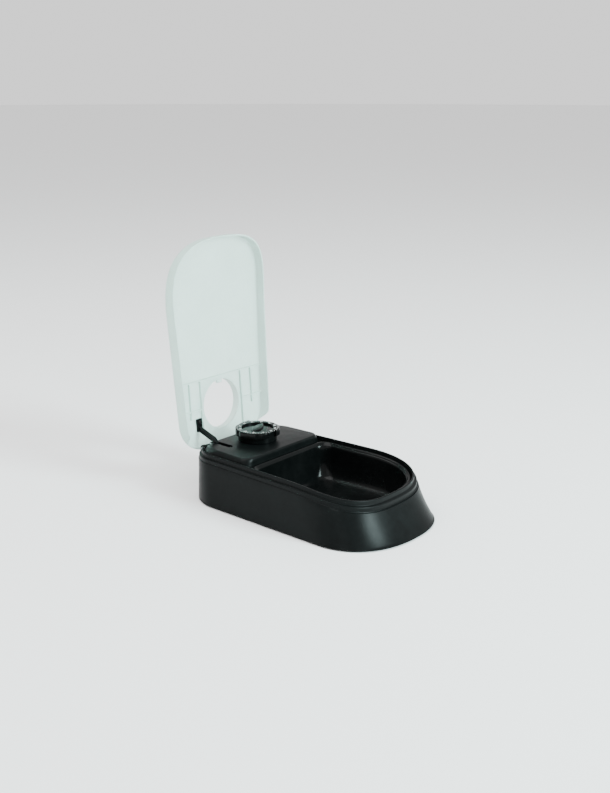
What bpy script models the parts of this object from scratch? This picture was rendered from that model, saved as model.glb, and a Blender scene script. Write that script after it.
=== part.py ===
import math

import bmesh
import bpy
from mathutils import Matrix, Vector

# Timer pet feeder, one meal. Metres are made from the millimetre sizes below.
# +Z is up, the bowl is toward -Y, the timer toward +Y.
MM = 0.001

GAP = 0.3                # between pieces that touch

# Base
SKIRT_Z = 1.0            # lower edge of the skirt, above the rubber feet
LEDGE_Z = 46.0           # flat ledge that the lid rests on
LIP_Z = LEDGE_Z + 4.4    # upstanding lip inside the ledge
SEAT_Z = LEDGE_Z - 1.0   # inner shelf that carries the bowl and the timer cover
BED_Z = SEAT_Z + GAP     # underside of what lies on that shelf
REAR_Y = 120.0
FOOT_FRONT_Y = -120.0    # front of the flared foot
RIM_FRONT_Y = -97.0      # front of the rim
RIM_HALF = 65.3          # half width of the rim at the middle
RIM_TAPER = 0.040        # the rim widens toward the front
FOOT_HALF = 70.9
FOOT_TAPER = 0.018
RIM_DIP = 0.0020         # the rim dips toward the front, per square mm
DIP_START_Y = -20.0
FRONT_START_Y = -34.0    # the front curve begins here
RIM_POWER = 2.9          # 2 would be an ellipse
SHOULDER_Z = LEDGE_Z - 4.2  # step just under the ledge
WALL = 2.4
FLOOR_LOW = 2.5
FLOOR_TOP = FLOOR_LOW + 2.5
FRONT_REAR_R = 33.0      # rear corner radius of the rim, seen from above

# Timer and its cover
DIAL_Y = 77.5
DIAL_R = 23.0
NECK_R = DIAL_R - 3.3
PLATFORM_Z = LEDGE_Z + 8.5
COVER_T = 2.0
DIAL_TOP = PLATFORM_Z + 12.8
RING_LOW = PLATFORM_Z + 6.4
NOTCH_HALF = 4.6         # half width of the latch notch in the dial
NOTCH_DEPTH = 3.9
PLATFORM_FRONT_Y = 40.6
CASE_R = 28.0
CASE_TOP = PLATFORM_Z - COVER_T - 3.5
CASE_LOW = CASE_TOP - 19.0
SHAFT_R = 3.8
MODULE = 1.0
DIAL_TEETH, PINION_TEETH, IDLE_TEETH, ROTOR_TEETH = 24, 8, 16, 8
MESH_GAP = 0.25
EAR_X, EAR_Y = CASE_R + 3.0, DIAL_Y - 7.5

SLOT_FRONT_Y = DIAL_Y + 2.5  # front end of the slots for the lid's arms

# Battery
CELL_R = 7.1
CELL_HALF = 24.3
CELL_Y, CELL_Z = DIAL_Y - 11.5, FLOOR_LOW + 9.9
DOOR_X, DOOR_Y = CELL_HALF + 7.9, CELL_R + 4.5  # half sizes of the door

# Lid, drawn in its own frame: u across, v from the dial hole to the front, n inward
HOLE_R = DIAL_R + 2.7
LID_T = 1.8
COLLAR = 7.9
LID_EDGE = 0.7           # the lid stays inside the rim by this much
LID_REAR_V = DIAL_Y - REAR_Y + 1.0
PIVOT = Vector((0.0, REAR_Y - 5.6, LEDGE_Z + 1.0))
CLOSED_HOLE = Vector((0.0, DIAL_Y, PLATFORM_Z + 3.1))
CLOSED_TILT = math.radians(0.8)
OPEN_ANGLE = math.radians(95.1)
ARM_X = HOLE_R + 9.3     # the arms stand clear of the collar
ARM_HALF = 1.9
LEFT_FOOT = (-12.0, -18.5)  # rivet and foot of the longer arm, along the lid
RIGHT_FOOT = (-31.0, -31.0)
RIVET_ASIDE = 6.0        # the short arm's rivet stands beside it, nearer the middle
AXLE_R = 1.5
BORE_R = AXLE_R + 0.25

# Fastenings
SCREWS = tuple((side * x, y) for x, y in ((RIM_HALF - 16.7, PLATFORM_FRONT_Y + 11.4),
                                          (RIM_HALF - 19.7, DIAL_Y + 15.5))
               for side in (-1, 1))
FEET = tuple((side * x, y) for x, y in ((FOOT_HALF - 18.9, REAR_Y - 36.0),
                                        (FOOT_HALF - 20.9, FOOT_FRONT_Y + 50.0))
             for side in (-1, 1))


def clear_scene():
    for obj in list(bpy.data.objects):
        bpy.data.objects.remove(obj, do_unlink=True)


def new_collection(name, hidden=False):
    coll = bpy.data.collections.new(name)
    bpy.context.scene.collection.children.link(coll)
    coll.hide_render = hidden
    return coll


def material(name, colour, roughness, metallic=0.0, transmission=0.0):
    mat = bpy.data.materials.new(name)
    mat.use_nodes = True
    node = mat.node_tree.nodes["Principled BSDF"]
    node.inputs["Base Color"].default_value = (*colour, 1.0)
    node.inputs["Roughness"].default_value = roughness
    node.inputs["Metallic"].default_value = metallic
    node.inputs["Transmission Weight"].default_value = transmission
    mat.diffuse_color = (*colour, 1.0)
    return mat


def add_object(name, bm, mat, coll, flat_angle=32.0):
    bmesh.ops.remove_doubles(bm, verts=bm.verts, dist=0.002)
    bmesh.ops.recalc_face_normals(bm, faces=bm.faces)
    for vert in bm.verts:
        vert.co *= MM
    mesh = bpy.data.meshes.new(name)
    bm.to_mesh(mesh)
    bm.free()
    for poly in mesh.polygons:
        poly.use_smooth = True
    mesh.set_sharp_from_angle(angle=math.radians(flat_angle))
    obj = bpy.data.objects.new(name, mesh)
    coll.objects.link(obj)
    if mat is not None:
        mesh.materials.append(mat)
    return obj


def loft(bm, rings, cap_first=False, cap_last=False, closed=False):
    loops = [[bm.verts.new(p) for p in ring] for ring in rings]
    pairs = list(zip(loops, loops[1:]))
    if closed:
        pairs.append((loops[-1], loops[0]))
    for low, high in pairs:
        count = len(low)
        for i in range(count):
            j = (i + 1) % count
            bm.faces.new((low[i], low[j], high[j], high[i]))
    if cap_first:
        bm.faces.new(list(reversed(loops[0])))
    if cap_last:
        bm.faces.new(loops[-1])


def turned(name, profile, centre, mat, coll, count=32, axis="Z", ring=False):
    # profile holds (radius, height) pairs from low to high; a ring's profile is a closed loop
    points = list(reversed(profile))
    if not ring:
        points = [(0.0, points[0][1])] + points + [(0.0, points[-1][1])]
    bm = bmesh.new()
    verts = [bm.verts.new((radius * MM, 0.0, height * MM)) for radius, height in points]
    for one, two in zip(verts, verts[1:]):
        bm.edges.new((one, two))
    if ring:
        bm.edges.new((verts[-1], verts[0]))
    mesh = bpy.data.meshes.new(name)
    bm.to_mesh(mesh)
    bm.free()
    obj = bpy.data.objects.new(name, mesh)
    coll.objects.link(obj)
    mesh.materials.append(mat)
    screw = obj.modifiers.new("Turned", "SCREW")
    screw.axis = "Z"
    screw.steps = count
    screw.render_steps = count
    screw.use_merge_vertices = True
    screw.merge_threshold = 0.00001
    place = Matrix.Translation(Vector(centre) * MM)
    if axis == "X":
        place = place @ Matrix.Rotation(math.pi / 2, 4, "Y")
    elif axis == "Y":
        place = place @ Matrix.Rotation(-math.pi / 2, 4, "X")
    obj.matrix_world = place
    return obj


def cylinder(bm, centre, radius, low, high, count=20, axis="Z"):
    made = bmesh.ops.create_cone(bm, cap_ends=True, segments=count, radius1=radius,
                                 radius2=radius, depth=high - low)["verts"]
    bmesh.ops.translate(bm, vec=(0, 0, (low + high) / 2), verts=made)
    if axis == "X":
        turn = Matrix.Rotation(math.pi / 2, 3, "Y")
        bmesh.ops.rotate(bm, cent=(0, 0, 0), matrix=turn, verts=made)
    bmesh.ops.translate(bm, vec=centre, verts=made)


def box(bm, low, high):
    made = bmesh.ops.create_cube(bm, size=1.0)["verts"]
    size = [b - a for a, b in zip(low, high)]
    middle = [(a + b) / 2 for a, b in zip(low, high)]
    bmesh.ops.scale(bm, vec=size, verts=made)
    bmesh.ops.translate(bm, vec=middle, verts=made)


def plate(bm, outline, offset):
    # a flat outline given thickness by moving a copy of its face
    face = bm.faces.new([bm.verts.new(point) for point in outline])
    grown = bmesh.ops.extrude_face_region(bm, geom=[face])["geom"]
    moved = [item for item in grown if isinstance(item, bmesh.types.BMVert)]
    bmesh.ops.translate(bm, vec=offset, verts=moved)


def boolean(obj, tool, operation):
    mod = obj.modifiers.new(operation.title() + " " + tool.name, "BOOLEAN")
    mod.operation = operation
    mod.object = tool
    mod.solver = "EXACT"


def helper(name, bm, tools):
    obj = add_object(name, bm, None, tools)
    obj.hide_render = True
    obj.display_type = "WIRE"
    return obj


def cut_box(obj, name, low, high, tools, operation="DIFFERENCE"):
    bm = bmesh.new()
    box(bm, low, high)
    boolean(obj, helper(name, bm, tools), operation)


def cut_round(obj, name, centre, radius, low, high, tools, operation="DIFFERENCE",
              axis="Z", count=20):
    bm = bmesh.new()
    cylinder(bm, Vector(centre), radius, low, high, count, axis)
    boolean(obj, helper(name, bm, tools), operation)


def dip(y):
    return -RIM_DIP * min(0.0, y - DIP_START_Y) ** 2


def mirror_half(half):
    # half runs from the rear centre line round the +X side to the front centre line
    left = [(-x, y) for x, y in reversed(half[1:-1])]
    return half + left


def round_front_loop(width, rear_y, rear_r, y0, front_y, power, sides=8, corner=6, front=12):
    half = []
    side_top = rear_y - rear_r
    inner = width(side_top) - rear_r
    for k in range(3):
        half.append((inner * k / 3, rear_y))
    for k in range(corner):
        t = math.pi / 2 * k / corner
        half.append((inner + rear_r * math.sin(t), side_top + rear_r * math.cos(t)))
    for k in range(sides):
        y = side_top + (y0 - side_top) * k / sides
        half.append((width(y), y))
    for k in range(front + 1):
        t = math.pi / 2 * k / front
        y = y0 + (front_y - y0) * math.sin(t) ** (2 / power)
        half.append((width(y0) * max(0.0, math.cos(t)) ** (2 / power), y))
    half[-1] = (0.0, front_y)
    return mirror_half(half)


def rim_width(inset):
    return lambda y: RIM_HALF - RIM_TAPER * y - inset


def foot_width(inset):
    return lambda y: FOOT_HALF - FOOT_TAPER * y - inset


def rim_loop(inset):
    return round_front_loop(rim_width(inset), REAR_Y - inset, FRONT_REAR_R - inset,
                            FRONT_START_Y, RIM_FRONT_Y + inset, RIM_POWER)


def foot_loop(inset):
    return round_front_loop(foot_width(inset), REAR_Y - inset, 44.0 - inset,
                            -60.0, FOOT_FRONT_Y + inset, 2.3)


def blend_loop(low, high, part):
    return [(a[0] + (b[0] - a[0]) * part, a[1] + (b[1] - a[1]) * part)
            for a, b in zip(low, high)]


def raise_loop(loop, height):
    return [Vector((x, y, height(y))) for x, y in loop]


def flare(share):
    # plan position of the wall at a share of its height: steep at the top, flared below
    return 1.0 - (1.0 - share) ** 1.35


def skirt_ring(inset, share, top=LEDGE_Z, low=SKIRT_Z):
    loop = blend_loop(foot_loop(inset), rim_loop(inset), flare(share))
    return raise_loop(loop, lambda y: low + share * (top + dip(y) - low))


def make_base(mat, coll, tools):
    level = lambda z: (lambda y: z + dip(y))
    flat = lambda z: (lambda y: z)
    rings = [raise_loop(foot_loop(3.0), flat(FLOOR_LOW))]
    rings.append(raise_loop(foot_loop(2.5), flat(SKIRT_Z)))
    for share in (0.0, 0.13, 0.3, 0.55, 0.8):
        rings.append(skirt_ring(0.0, share))
    rings.append(raise_loop(rim_loop(-0.2), level(SHOULDER_Z)))
    rings.append(raise_loop(rim_loop(0.5), level(SHOULDER_Z + 0.4)))
    rings.append(raise_loop(rim_loop(0.6), level(LEDGE_Z - 0.5)))
    rings.append(raise_loop(rim_loop(1.1), level(LEDGE_Z)))
    rings.append(raise_loop(rim_loop(3.0), level(LEDGE_Z)))
    rings.append(raise_loop(rim_loop(3.2), level(LIP_Z - 0.5)))
    rings.append(raise_loop(rim_loop(3.6), level(LIP_Z)))
    rings.append(raise_loop(rim_loop(4.4), level(LIP_Z)))
    rings.append(raise_loop(rim_loop(4.8), level(LIP_Z - 0.5)))
    rings.append(raise_loop(rim_loop(5.0), level(SEAT_Z)))
    rings.append(raise_loop(rim_loop(7.2), level(SEAT_Z)))
    rings.append(raise_loop(rim_loop(7.2), level(SEAT_Z - 2.0)))
    for share in (0.93, 0.7, 0.35):
        rings.append(skirt_ring(WALL, share))
    rings.append(raise_loop(blend_loop(foot_loop(WALL), rim_loop(WALL), flare(0.09)),
                            flat(FLOOR_TOP)))
    bm = bmesh.new()
    loft(bm, rings, cap_first=True, cap_last=True)
    base = add_object("base_shell", bm, mat, coll)
    # partition between the bowl and the timer, with a bearer along its top
    wall = PLATFORM_FRONT_Y - 2.6
    top = SEAT_Z - 0.1
    profile = [(wall, 4.0), (wall + WALL, 4.0), (wall + WALL, top - 2.3),
               (wall + WALL + 2.8, top - 2.3), (wall + WALL + 2.8, top), (wall - 0.2, top),
               (wall - 0.2, top - 2.3), (wall, top - 2.3)]
    low_x, high_x = FOOT_HALF - 2.3, rim_width(1.0)(wall)
    reach = lambda z: low_x + (high_x - low_x) * (z - 4.0) / (LEDGE_Z - 1.0 - 4.0)
    ends = [[Vector((side * reach(z), y, z)) for y, z in profile] for side in (-1, 1)]
    bm = bmesh.new()
    loft(bm, ends, cap_first=True, cap_last=True)
    boolean(base, helper("tool_partition", bm, tools), "UNION")
    # battery box on the floor, open below
    room_x, room_y = CELL_HALF + 5.4, CELL_R + 2.1
    room_top = CELL_Z + CELL_R + 2.7
    cut_box(base, "tool_battery_box", (-room_x - 1.8, CELL_Y - room_y - 1.8, 4.0),
            (room_x + 1.8, CELL_Y + room_y + 1.8, room_top + 1.8), tools, "UNION")
    cut_box(base, "tool_battery_room", (-room_x, CELL_Y - room_y, 1.0),
            (room_x, CELL_Y + room_y, room_top), tools)
    cut_box(base, "tool_door_ledge", (-DOOR_X - 0.4, CELL_Y - DOOR_Y - 0.4, 1.0),
            (DOOR_X + 0.4, CELL_Y + DOOR_Y + 0.4, FLOOR_LOW + 1.4), tools)
    # open trough for the lid hinge, and the four lugs that carry its axle
    cut_box(base, "tool_trough", (-ARM_X - 9.0, PIVOT.y - 8.4, LEDGE_Z - 6.0),
            (ARM_X + 9.0, PIVOT.y + 3.1, LEDGE_Z + 14.0), tools)
    y, z = PIVOT.y, PIVOT.z
    outline = [(y - 3.4, z - 13.0), (y + 4.2, z - 13.0), (y + 4.2, z + 1.0), (y + 2.6, z + 3.2),
               (y - 2.0, z + 3.2), (y - 3.4, z + 1.6)]
    for name, x in (("a", -ARM_X - 6.0), ("b", -ARM_X + 6.0), ("c", ARM_X - 8.6),
                    ("d", ARM_X + 3.4)):
        bm = bmesh.new()
        plate(bm, [Vector((x, *point)) for point in outline], Vector((2.6, 0, 0)))
        boolean(base, helper("tool_lug_" + name, bm, tools), "UNION")
    cut_round(base, "tool_axle_bore", (0, PIVOT.y, PIVOT.z), BORE_R, -ARM_X - 10.0, ARM_X + 10.0,
              tools, axis="X", count=16)
    for index, (x, y) in enumerate(SCREWS):
        cut_round(base, "tool_screw_hole_%d" % index, (x, y, 0), 1.8, 0.0, FLOOR_TOP + 3.0, tools)
    return base


def straight_front_loop(width, rear_y, rear_r, front_y, front_r):
    half = []
    side_top = rear_y - rear_r
    inner = width(side_top) - rear_r
    for k in range(3):
        half.append((inner * k / 3, rear_y))
    for k in range(6):
        t = math.pi / 2 * k / 6
        half.append((inner + rear_r * math.sin(t), side_top + rear_r * math.cos(t)))
    low = front_y + front_r
    for k in range(5):
        y = side_top + (low - side_top) * k / 5
        half.append((width(y), y))
    centre = width(low) - front_r
    for k in range(5):
        t = math.pi / 2 * k / 5
        half.append((centre + front_r * math.cos(t), low - front_r * math.sin(t)))
    for k in range(3):
        half.append((centre * (1 - k / 2), front_y))
    return mirror_half(half)


def cover_ring(inset, rear_y, front_y, front_r, z):
    loop = straight_front_loop(rim_width(inset), rear_y, 27.0, front_y, front_r)
    return [Vector((x, y, z)) for x, y in loop]


def make_cover(mat, coll, tools):
    front = PLATFORM_FRONT_Y
    rear = REAR_Y - 15.0
    top = PLATFORM_Z
    rings = [cover_ring(11.0, rear, front + 2.6, 8.0, top - COVER_T)]
    rings.append(cover_ring(10.4, rear + 1.5, front + 2.2, 8.5, top - 4.5))
    rings.append(cover_ring(7.4, rear + 7.2, front + 1.9, 9.0, BED_Z))
    rings.append(cover_ring(5.4, rear + 9.4, front - 0.2, 10.0, BED_Z))
    rings.append(cover_ring(5.8, rear + 8.6, front, 10.0, BED_Z + 3.2))
    rings.append(cover_ring(8.4, rear + 2.6, front + 0.3, 10.0, top - 1.1))
    rings.append(cover_ring(9.0, rear + 1.4, front + 0.8, 10.0, top - 0.3))
    rings.append(cover_ring(10.2, rear, front + 2.0, 9.0, top))
    bm = bmesh.new()
    loft(bm, rings, cap_first=True, cap_last=True)
    cover = add_object("timer_cover", bm, mat, coll)
    for index, (x, y) in enumerate(SCREWS):
        cut_round(cover, "tool_post_%d" % index, (x, y, 0), 3.4, FLOOR_TOP + 0.4, top - 1.1,
                  tools, "UNION")
        cut_round(cover, "tool_pilot_%d" % index, (x, y, 0), 1.5, 4.0, 18.0, tools)
    cut_box(cover, "tool_rear_cut", (-ARM_X - 8.6, PIVOT.y - 4.8, LEDGE_Z - 6.0),
            (ARM_X + 8.6, REAR_Y + 2.0, LEDGE_Z + 14.0), tools)
    for side, name in ((-1, "left"), (1, "right")):
        low, high = sorted((side * (ARM_X - 3.0), side * (ARM_X + 3.0)))
        cut_box(cover, "tool_slot_" + name, (low, SLOT_FRONT_Y, LEDGE_Z - 6.0),
                (high, REAR_Y + 2.0, LEDGE_Z + 14.0), tools)
    for side, name in ((-1, "left"), (1, "right")):
        here = (side * EAR_X, EAR_Y, 0)
        cut_round(cover, "tool_boss_" + name, here, 3.0, CASE_TOP + 0.1, top - 1.3, tools,
                  "UNION")
        cut_round(cover, "tool_boss_pilot_" + name, here, 1.2, CASE_TOP - 1.0, top - 2.3, tools,
                  count=12)
    cut_round(cover, "tool_shaft_hole", (0, DIAL_Y, 0), SHAFT_R + 1.0, CASE_TOP, top + 3.5, tools)
    return cover


def tray_ring(inset, rear_y, rear_r, front_in, height):
    half = []
    width = rim_width(inset)
    side_top = rear_y - rear_r
    inner = width(side_top) - rear_r
    for k in range(4):
        half.append((inner * k / 4, rear_y))
    for k in range(6):
        t = math.pi / 2 * k / 6
        half.append((inner + rear_r * math.sin(t), side_top + rear_r * math.cos(t)))
    y0 = FRONT_START_Y
    for k in range(6):
        y = side_top + (y0 - side_top) * k / 6
        half.append((width(y), y))
    for k in range(13):
        t = math.pi / 2 * k / 12
        y = y0 + (RIM_FRONT_Y + front_in - y0) * math.sin(t) ** (2 / RIM_POWER)
        half.append((width(y0) * max(0.0, math.cos(t)) ** (2 / RIM_POWER), y))
    half[-1] = (0.0, RIM_FRONT_Y + front_in)
    return raise_loop(mirror_half(half), height)


def make_tray(mat, coll):
    # the outside of the bowl from its floor up, the flange, then the inside down
    level = lambda z: (lambda y: z + dip(y))
    mixed = lambda z, part: (lambda y: z + part * dip(y))
    rear = PLATFORM_FRONT_Y - 0.7
    low = FLOOR_TOP + 3.0
    rings = []
    for inset, back, radius, front, height in (
            (23.2, 17.4, 14.0, 23.2, mixed(low, 0.0)),
            (17.2, 11.9, 15.0, 17.2, mixed(low + 1.4, 0.06)),
            (13.0, 7.9, 15.0, 13.4, mixed(low + 6.0, 0.2)),
            (10.4, 5.3, 14.0, 10.6, mixed((low + BED_Z) / 2 - 0.6, 0.5)),
            (8.8, 3.5, 13.0, 9.0, level(BED_Z - 1.9)),
            (7.6, 2.5, 12.0, 7.8, level(BED_Z)),
            (5.6, 0.0, 10.0, 5.7, level(BED_Z)),
            (5.6, 0.0, 10.0, 5.7, level(BED_Z + 1.3)),
            (6.0, 0.4, 10.0, 6.1, level(BED_Z + 1.7)),
            (7.4, 2.3, 11.0, 7.4, level(BED_Z + 1.9)),
            (8.0, 2.9, 11.4, 8.0, level(BED_Z + 1.6)),
            (9.2, 4.3, 12.0, 9.4, level(BED_Z + 0.3)),
            (10.6, 5.3, 12.6, 10.8, level(BED_Z - 2.3)),
            (12.2, 7.1, 12.4, 12.4, mixed((low + BED_Z) / 2, 0.5)),
            (14.8, 9.7, 13.4, 15.2, mixed(low + 7.0, 0.2)),
            (18.6, 13.5, 13.4, 18.8, mixed(low + 3.0, 0.06)),
            (24.2, 18.5, 13.0, 24.4, mixed(low + 1.8, 0.0))):
        rings.append(tray_ring(inset, rear - back, radius, front, height))
    bm = bmesh.new()
    loft(bm, rings, cap_first=True, cap_last=True)
    return add_object("bowl_tray", bm, mat, coll)


def lid_matrix():
    # closed: u is +X, v points to -Y and slightly down, n points down
    c, s = math.cos(CLOSED_TILT), math.sin(CLOSED_TILT)
    closed = Matrix(((1, 0, 0, 0), (0, -c, s, CLOSED_HOLE.y), (0, -s, -c, CLOSED_HOLE.z),
                     (0, 0, 0, 1)))
    turn = (Matrix.Translation(PIVOT) @ Matrix.Rotation(-OPEN_ANGLE, 4, "X")
            @ Matrix.Translation(-PIVOT))
    return turn @ closed


def in_metres(matrix):
    return Matrix.Scale(MM, 4) @ matrix @ Matrix.Scale(1 / MM, 4)


def lid_half_width(v, inset):
    return rim_width(LID_EDGE + inset)(DIAL_Y - v)


def lid_outline(inset):
    half = []
    rear_r = FRONT_REAR_R - 2.0 - inset
    rear = LID_REAR_V + inset
    side = rear + rear_r
    inner = lid_half_width(side, inset) - rear_r
    front_v = DIAL_Y - RIM_FRONT_Y - LID_EDGE - inset
    v0 = DIAL_Y - FRONT_START_Y
    power = RIM_POWER
    for k in range(3):
        half.append((inner * k / 3, rear))
    for k in range(6):
        t = math.pi / 2 * k / 6
        half.append((inner + rear_r * math.sin(t), side - rear_r * math.cos(t)))
    for k in range(8):
        v = side + (v0 - side) * k / 8
        half.append((lid_half_width(v, inset), v))
    for k in range(13):
        t = math.pi / 2 * k / 12
        v = v0 + (front_v - v0) * math.sin(t) ** (2 / power)
        half.append((lid_half_width(v0, inset) * max(0.0, math.cos(t)) ** (2 / power), v))
    half[-1] = (0.0, front_v)
    return mirror_half(half)


def lid_droop(v):
    return RIM_DIP * max(0.0, v - (DIAL_Y - DIP_START_Y)) ** 2


def skirt_depth(v):
    # the skirt reaches the ledge, and is cut back at the rear for the hinge
    full = CLOSED_HOLE.z - LEDGE_Z - 0.5 - math.sin(CLOSED_TILT) * v
    share = (v - LID_REAR_V - 11.5) / 8.0
    return 0.9 + (full - 0.9) * min(1.0, max(0.0, share))


def lid_hole_loop(outline, radius):
    # points on the hole's circle that face the outline's points
    loop = []
    for u, v in outline:
        reach = math.hypot(u, v)
        loop.append((u / reach * radius, v / reach * radius))
    return loop


def make_lid(mat, coll, tools):
    outer = lid_outline(0.0)
    shoulder = lid_outline(0.9)
    inner = lid_outline(1.6)
    hole = lid_hole_loop(outer, HOLE_R)
    collar = lid_hole_loop(outer, HOLE_R + 2.2)

    def ring(loop, offset, extra=None):
        return [Vector((u, v, offset + lid_droop(v) + (extra(v) if extra else 0.0)))
                for u, v in loop]

    rings = [ring(hole, 0.0), ring(hole, -COLLAR + 0.4)]
    rings.append(ring(lid_hole_loop(outer, HOLE_R + 0.4), -COLLAR))
    rings.append(ring(lid_hole_loop(outer, HOLE_R + 1.8), -COLLAR))
    rings.append(ring(collar, -COLLAR + 0.4))
    rings.append(ring(collar, -LID_T))
    for share in (0.3, 0.55, 0.78):
        rings.append(ring(blend_loop(collar, shoulder, share), -LID_T))
    rings.append(ring(shoulder, -LID_T))
    rings.append(ring(lid_outline(0.25), -LID_T + 0.6))
    rings.append(ring(outer, -0.4))
    rings.append(ring(outer, 0.0, skirt_depth))
    rings.append(ring(inner, 0.0, skirt_depth))
    rings.append(ring(inner, 0.0))
    for share in (0.78, 0.55, 0.3):
        rings.append(ring(blend_loop(hole, inner, share), 0.0))
    bm = bmesh.new()
    loft(bm, rings, closed=True)
    lid = add_object("lid", bm, mat, coll)
    # stiffening ribs inside, and the latch nub in the hole
    cross = HOLE_R + 3.7
    edge = lid_half_width(cross, 0.0) - 7.0
    walls = [("cross", (-edge, cross, -0.6), (edge, cross + 1.2, 2.2))]
    for side, name in ((-1, "l"), (1, "r")):
        for number, u, start in ((1, ARM_X - 5.5, -27.0), (2, ARM_X + 10.0, -8.0)):
            low, high = sorted((side * (u - 0.6), side * (u + 0.6)))
            walls.append(("%s%d" % (name, number), (low, start, -0.6), (high, cross + 0.6, 2.2)))
        low, high = sorted((side * (HOLE_R + 2.8), side * (lid_half_width(0.0, 0.0) - 0.8)))
        walls.append((name + "_mid", (low, -0.6, -0.6), (high, 0.6, 2.0)))
    for name, low, high in walls:
        cut_box(lid, "tool_rib_" + name, low, high, tools, "UNION")
    cut_box(lid, "tool_nub", (-NOTCH_HALF + 1.2, DIAL_R - 1.0, -2.9),
            (NOTCH_HALF - 1.2, HOLE_R + 1.3, -0.3), tools, "UNION")
    for side, name in ((-1, "left"), (1, "right")):
        cut_round(lid, "tool_rivet_hole_" + name, rivet_spot(side), 1.4, -4.0, 2.0,
                  tools, count=12)
    place = in_metres(lid_matrix())
    lid.matrix_world = place
    for mod in lid.modifiers:
        mod.object.matrix_world = place
    return lid


def offset_path(points, half):
    left, right = [], []
    for i, point in enumerate(points):
        before = points[max(0, i - 1)]
        after = points[min(len(points) - 1, i + 1)]
        along = (after - before).normalized()
        across = Vector((-along.y, along.x))
        left.append(point + across * half)
        right.append(point - across * half)
    return left + list(reversed(right))


def rivet_spot(side):
    if side < 0:
        return Vector((-ARM_X, LEFT_FOOT[0], 0))
    return Vector((ARM_X - RIVET_ASIDE, RIGHT_FOOT[0], 0))


def make_arm(name, side, mat, coll, tools):
    # a hooked arm: from the axle it turns forward, up through the slot, then back to the lid
    foot_v = LEFT_FOOT[1] if side < 0 else RIGHT_FOOT[1]
    place = lid_matrix()
    foot = place @ Vector((0.0, foot_v, 1.4))
    foot_low = place @ Vector((0.0, foot_v - 1.5 if side < 0 else foot_v + 1.2, 3.4))
    p = Vector((PIVOT.y, PIVOT.z))
    if side < 0:
        bend = [(-9.0, 1.4), (-11.6, 3.6), (-12.0, 6.8), (-9.8, 9.6)]
    else:
        bend = [(-8.4, 1.6), (-9.8, 4.0), (-8.4, 6.8), (-5.0, 7.6)]
    path = [p, p + Vector((-5.0, 0.4))] + [p + Vector(q) for q in bend]
    path += [Vector((foot_low.y, foot_low.z)), Vector((foot.y, foot.z))]
    x = side * ARM_X
    outline = [Vector((x - ARM_HALF, q.x, q.y)) for q in offset_path(path, 2.2)]
    bm = bmesh.new()
    plate(bm, outline, Vector((2 * ARM_HALF, 0, 0)))
    arm = add_object(name, bm, mat, coll)
    cut_round(arm, "tool_eye_" + name, (0, PIVOT.y, PIVOT.z), AXLE_R + 1.2, x - ARM_HALF,
              x + ARM_HALF, tools, "UNION", axis="X", count=24)
    # pad against the lid, in the lid's frame
    bm = bmesh.new()
    rivet = rivet_spot(side)
    box(bm, (min(x, rivet.x) - ARM_HALF - 1.4, foot_v - 3.5, GAP),
        (x + ARM_HALF + 1.4, rivet.y + 3.4, 2.3))
    bmesh.ops.transform(bm, matrix=place, verts=bm.verts)
    boolean(arm, helper("tool_pad_" + name, bm, tools), "UNION")
    bm = bmesh.new()
    cylinder(bm, rivet, 1.4, -4.0, 9.0, 12)
    bmesh.ops.transform(bm, matrix=place, verts=bm.verts)
    boolean(arm, helper("tool_rivet_" + name, bm, tools), "DIFFERENCE")
    cut_round(arm, "tool_bore_" + name, (0, PIVOT.y, PIVOT.z), BORE_R, x - ARM_HALF - 1,
              x + ARM_HALF + 1, tools, axis="X", count=16)
    return arm


def make_rivet(name, side, mat, coll):
    low = -LID_T
    profile = [(0.8, low - 1.5), (2.4, low - 1.2), (2.6, low - 0.4), (1.1, low - 0.3), (1.1, 2.6),
               (2.3, 2.7), (2.0, 3.5)]
    rivet = turned(name, profile, (0, 0, 0), mat, coll, 16)
    spot = Matrix.Translation(rivet_spot(side) * MM)
    rivet.matrix_world = in_metres(lid_matrix()) @ spot
    return rivet


def make_axle(mat, coll):
    half = ARM_X + 7.9
    profile = [(AXLE_R - 0.4, -half), (AXLE_R, -half + 0.4), (AXLE_R, half - 0.4),
               (AXLE_R - 0.4, half)]
    return turned("hinge_axle", profile, PIVOT, mat, coll, 16, "X")


def make_spring(name, side, mat, coll):
    # coil round the axle, one leg on the arm and one on the base wall
    turns, wire, mean, steps = 3.0, 0.35, AXLE_R + 0.85, 42
    start = math.radians(250)
    points = []
    for k in range(steps + 1):
        angle = start + 2 * math.pi * turns * k / steps
        x = side * (ARM_X - 5.2 + 2.6 * k / steps)
        spot = Vector((x, mean * math.cos(angle), mean * math.sin(angle)))
        points.append(spot + Vector((0, PIVOT.y, PIVOT.z)))
    points.insert(0, points[0] + Vector((0, 0.3, -6.0)))
    points.append(points[-1] + Vector((0, -7.0, 1.6)))
    curve = bpy.data.curves.new(name, "CURVE")
    curve.dimensions = "3D"
    curve.bevel_depth = wire * MM
    curve.bevel_resolution = 2
    curve.use_fill_caps = True
    spline = curve.splines.new("POLY")
    spline.points.add(len(points) - 1)
    for spot, point in zip(spline.points, points):
        spot.co = (*(point * MM), 1.0)
    curve.materials.append(mat)
    obj = bpy.data.objects.new(name, curve)
    coll.objects.link(obj)
    return obj


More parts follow.
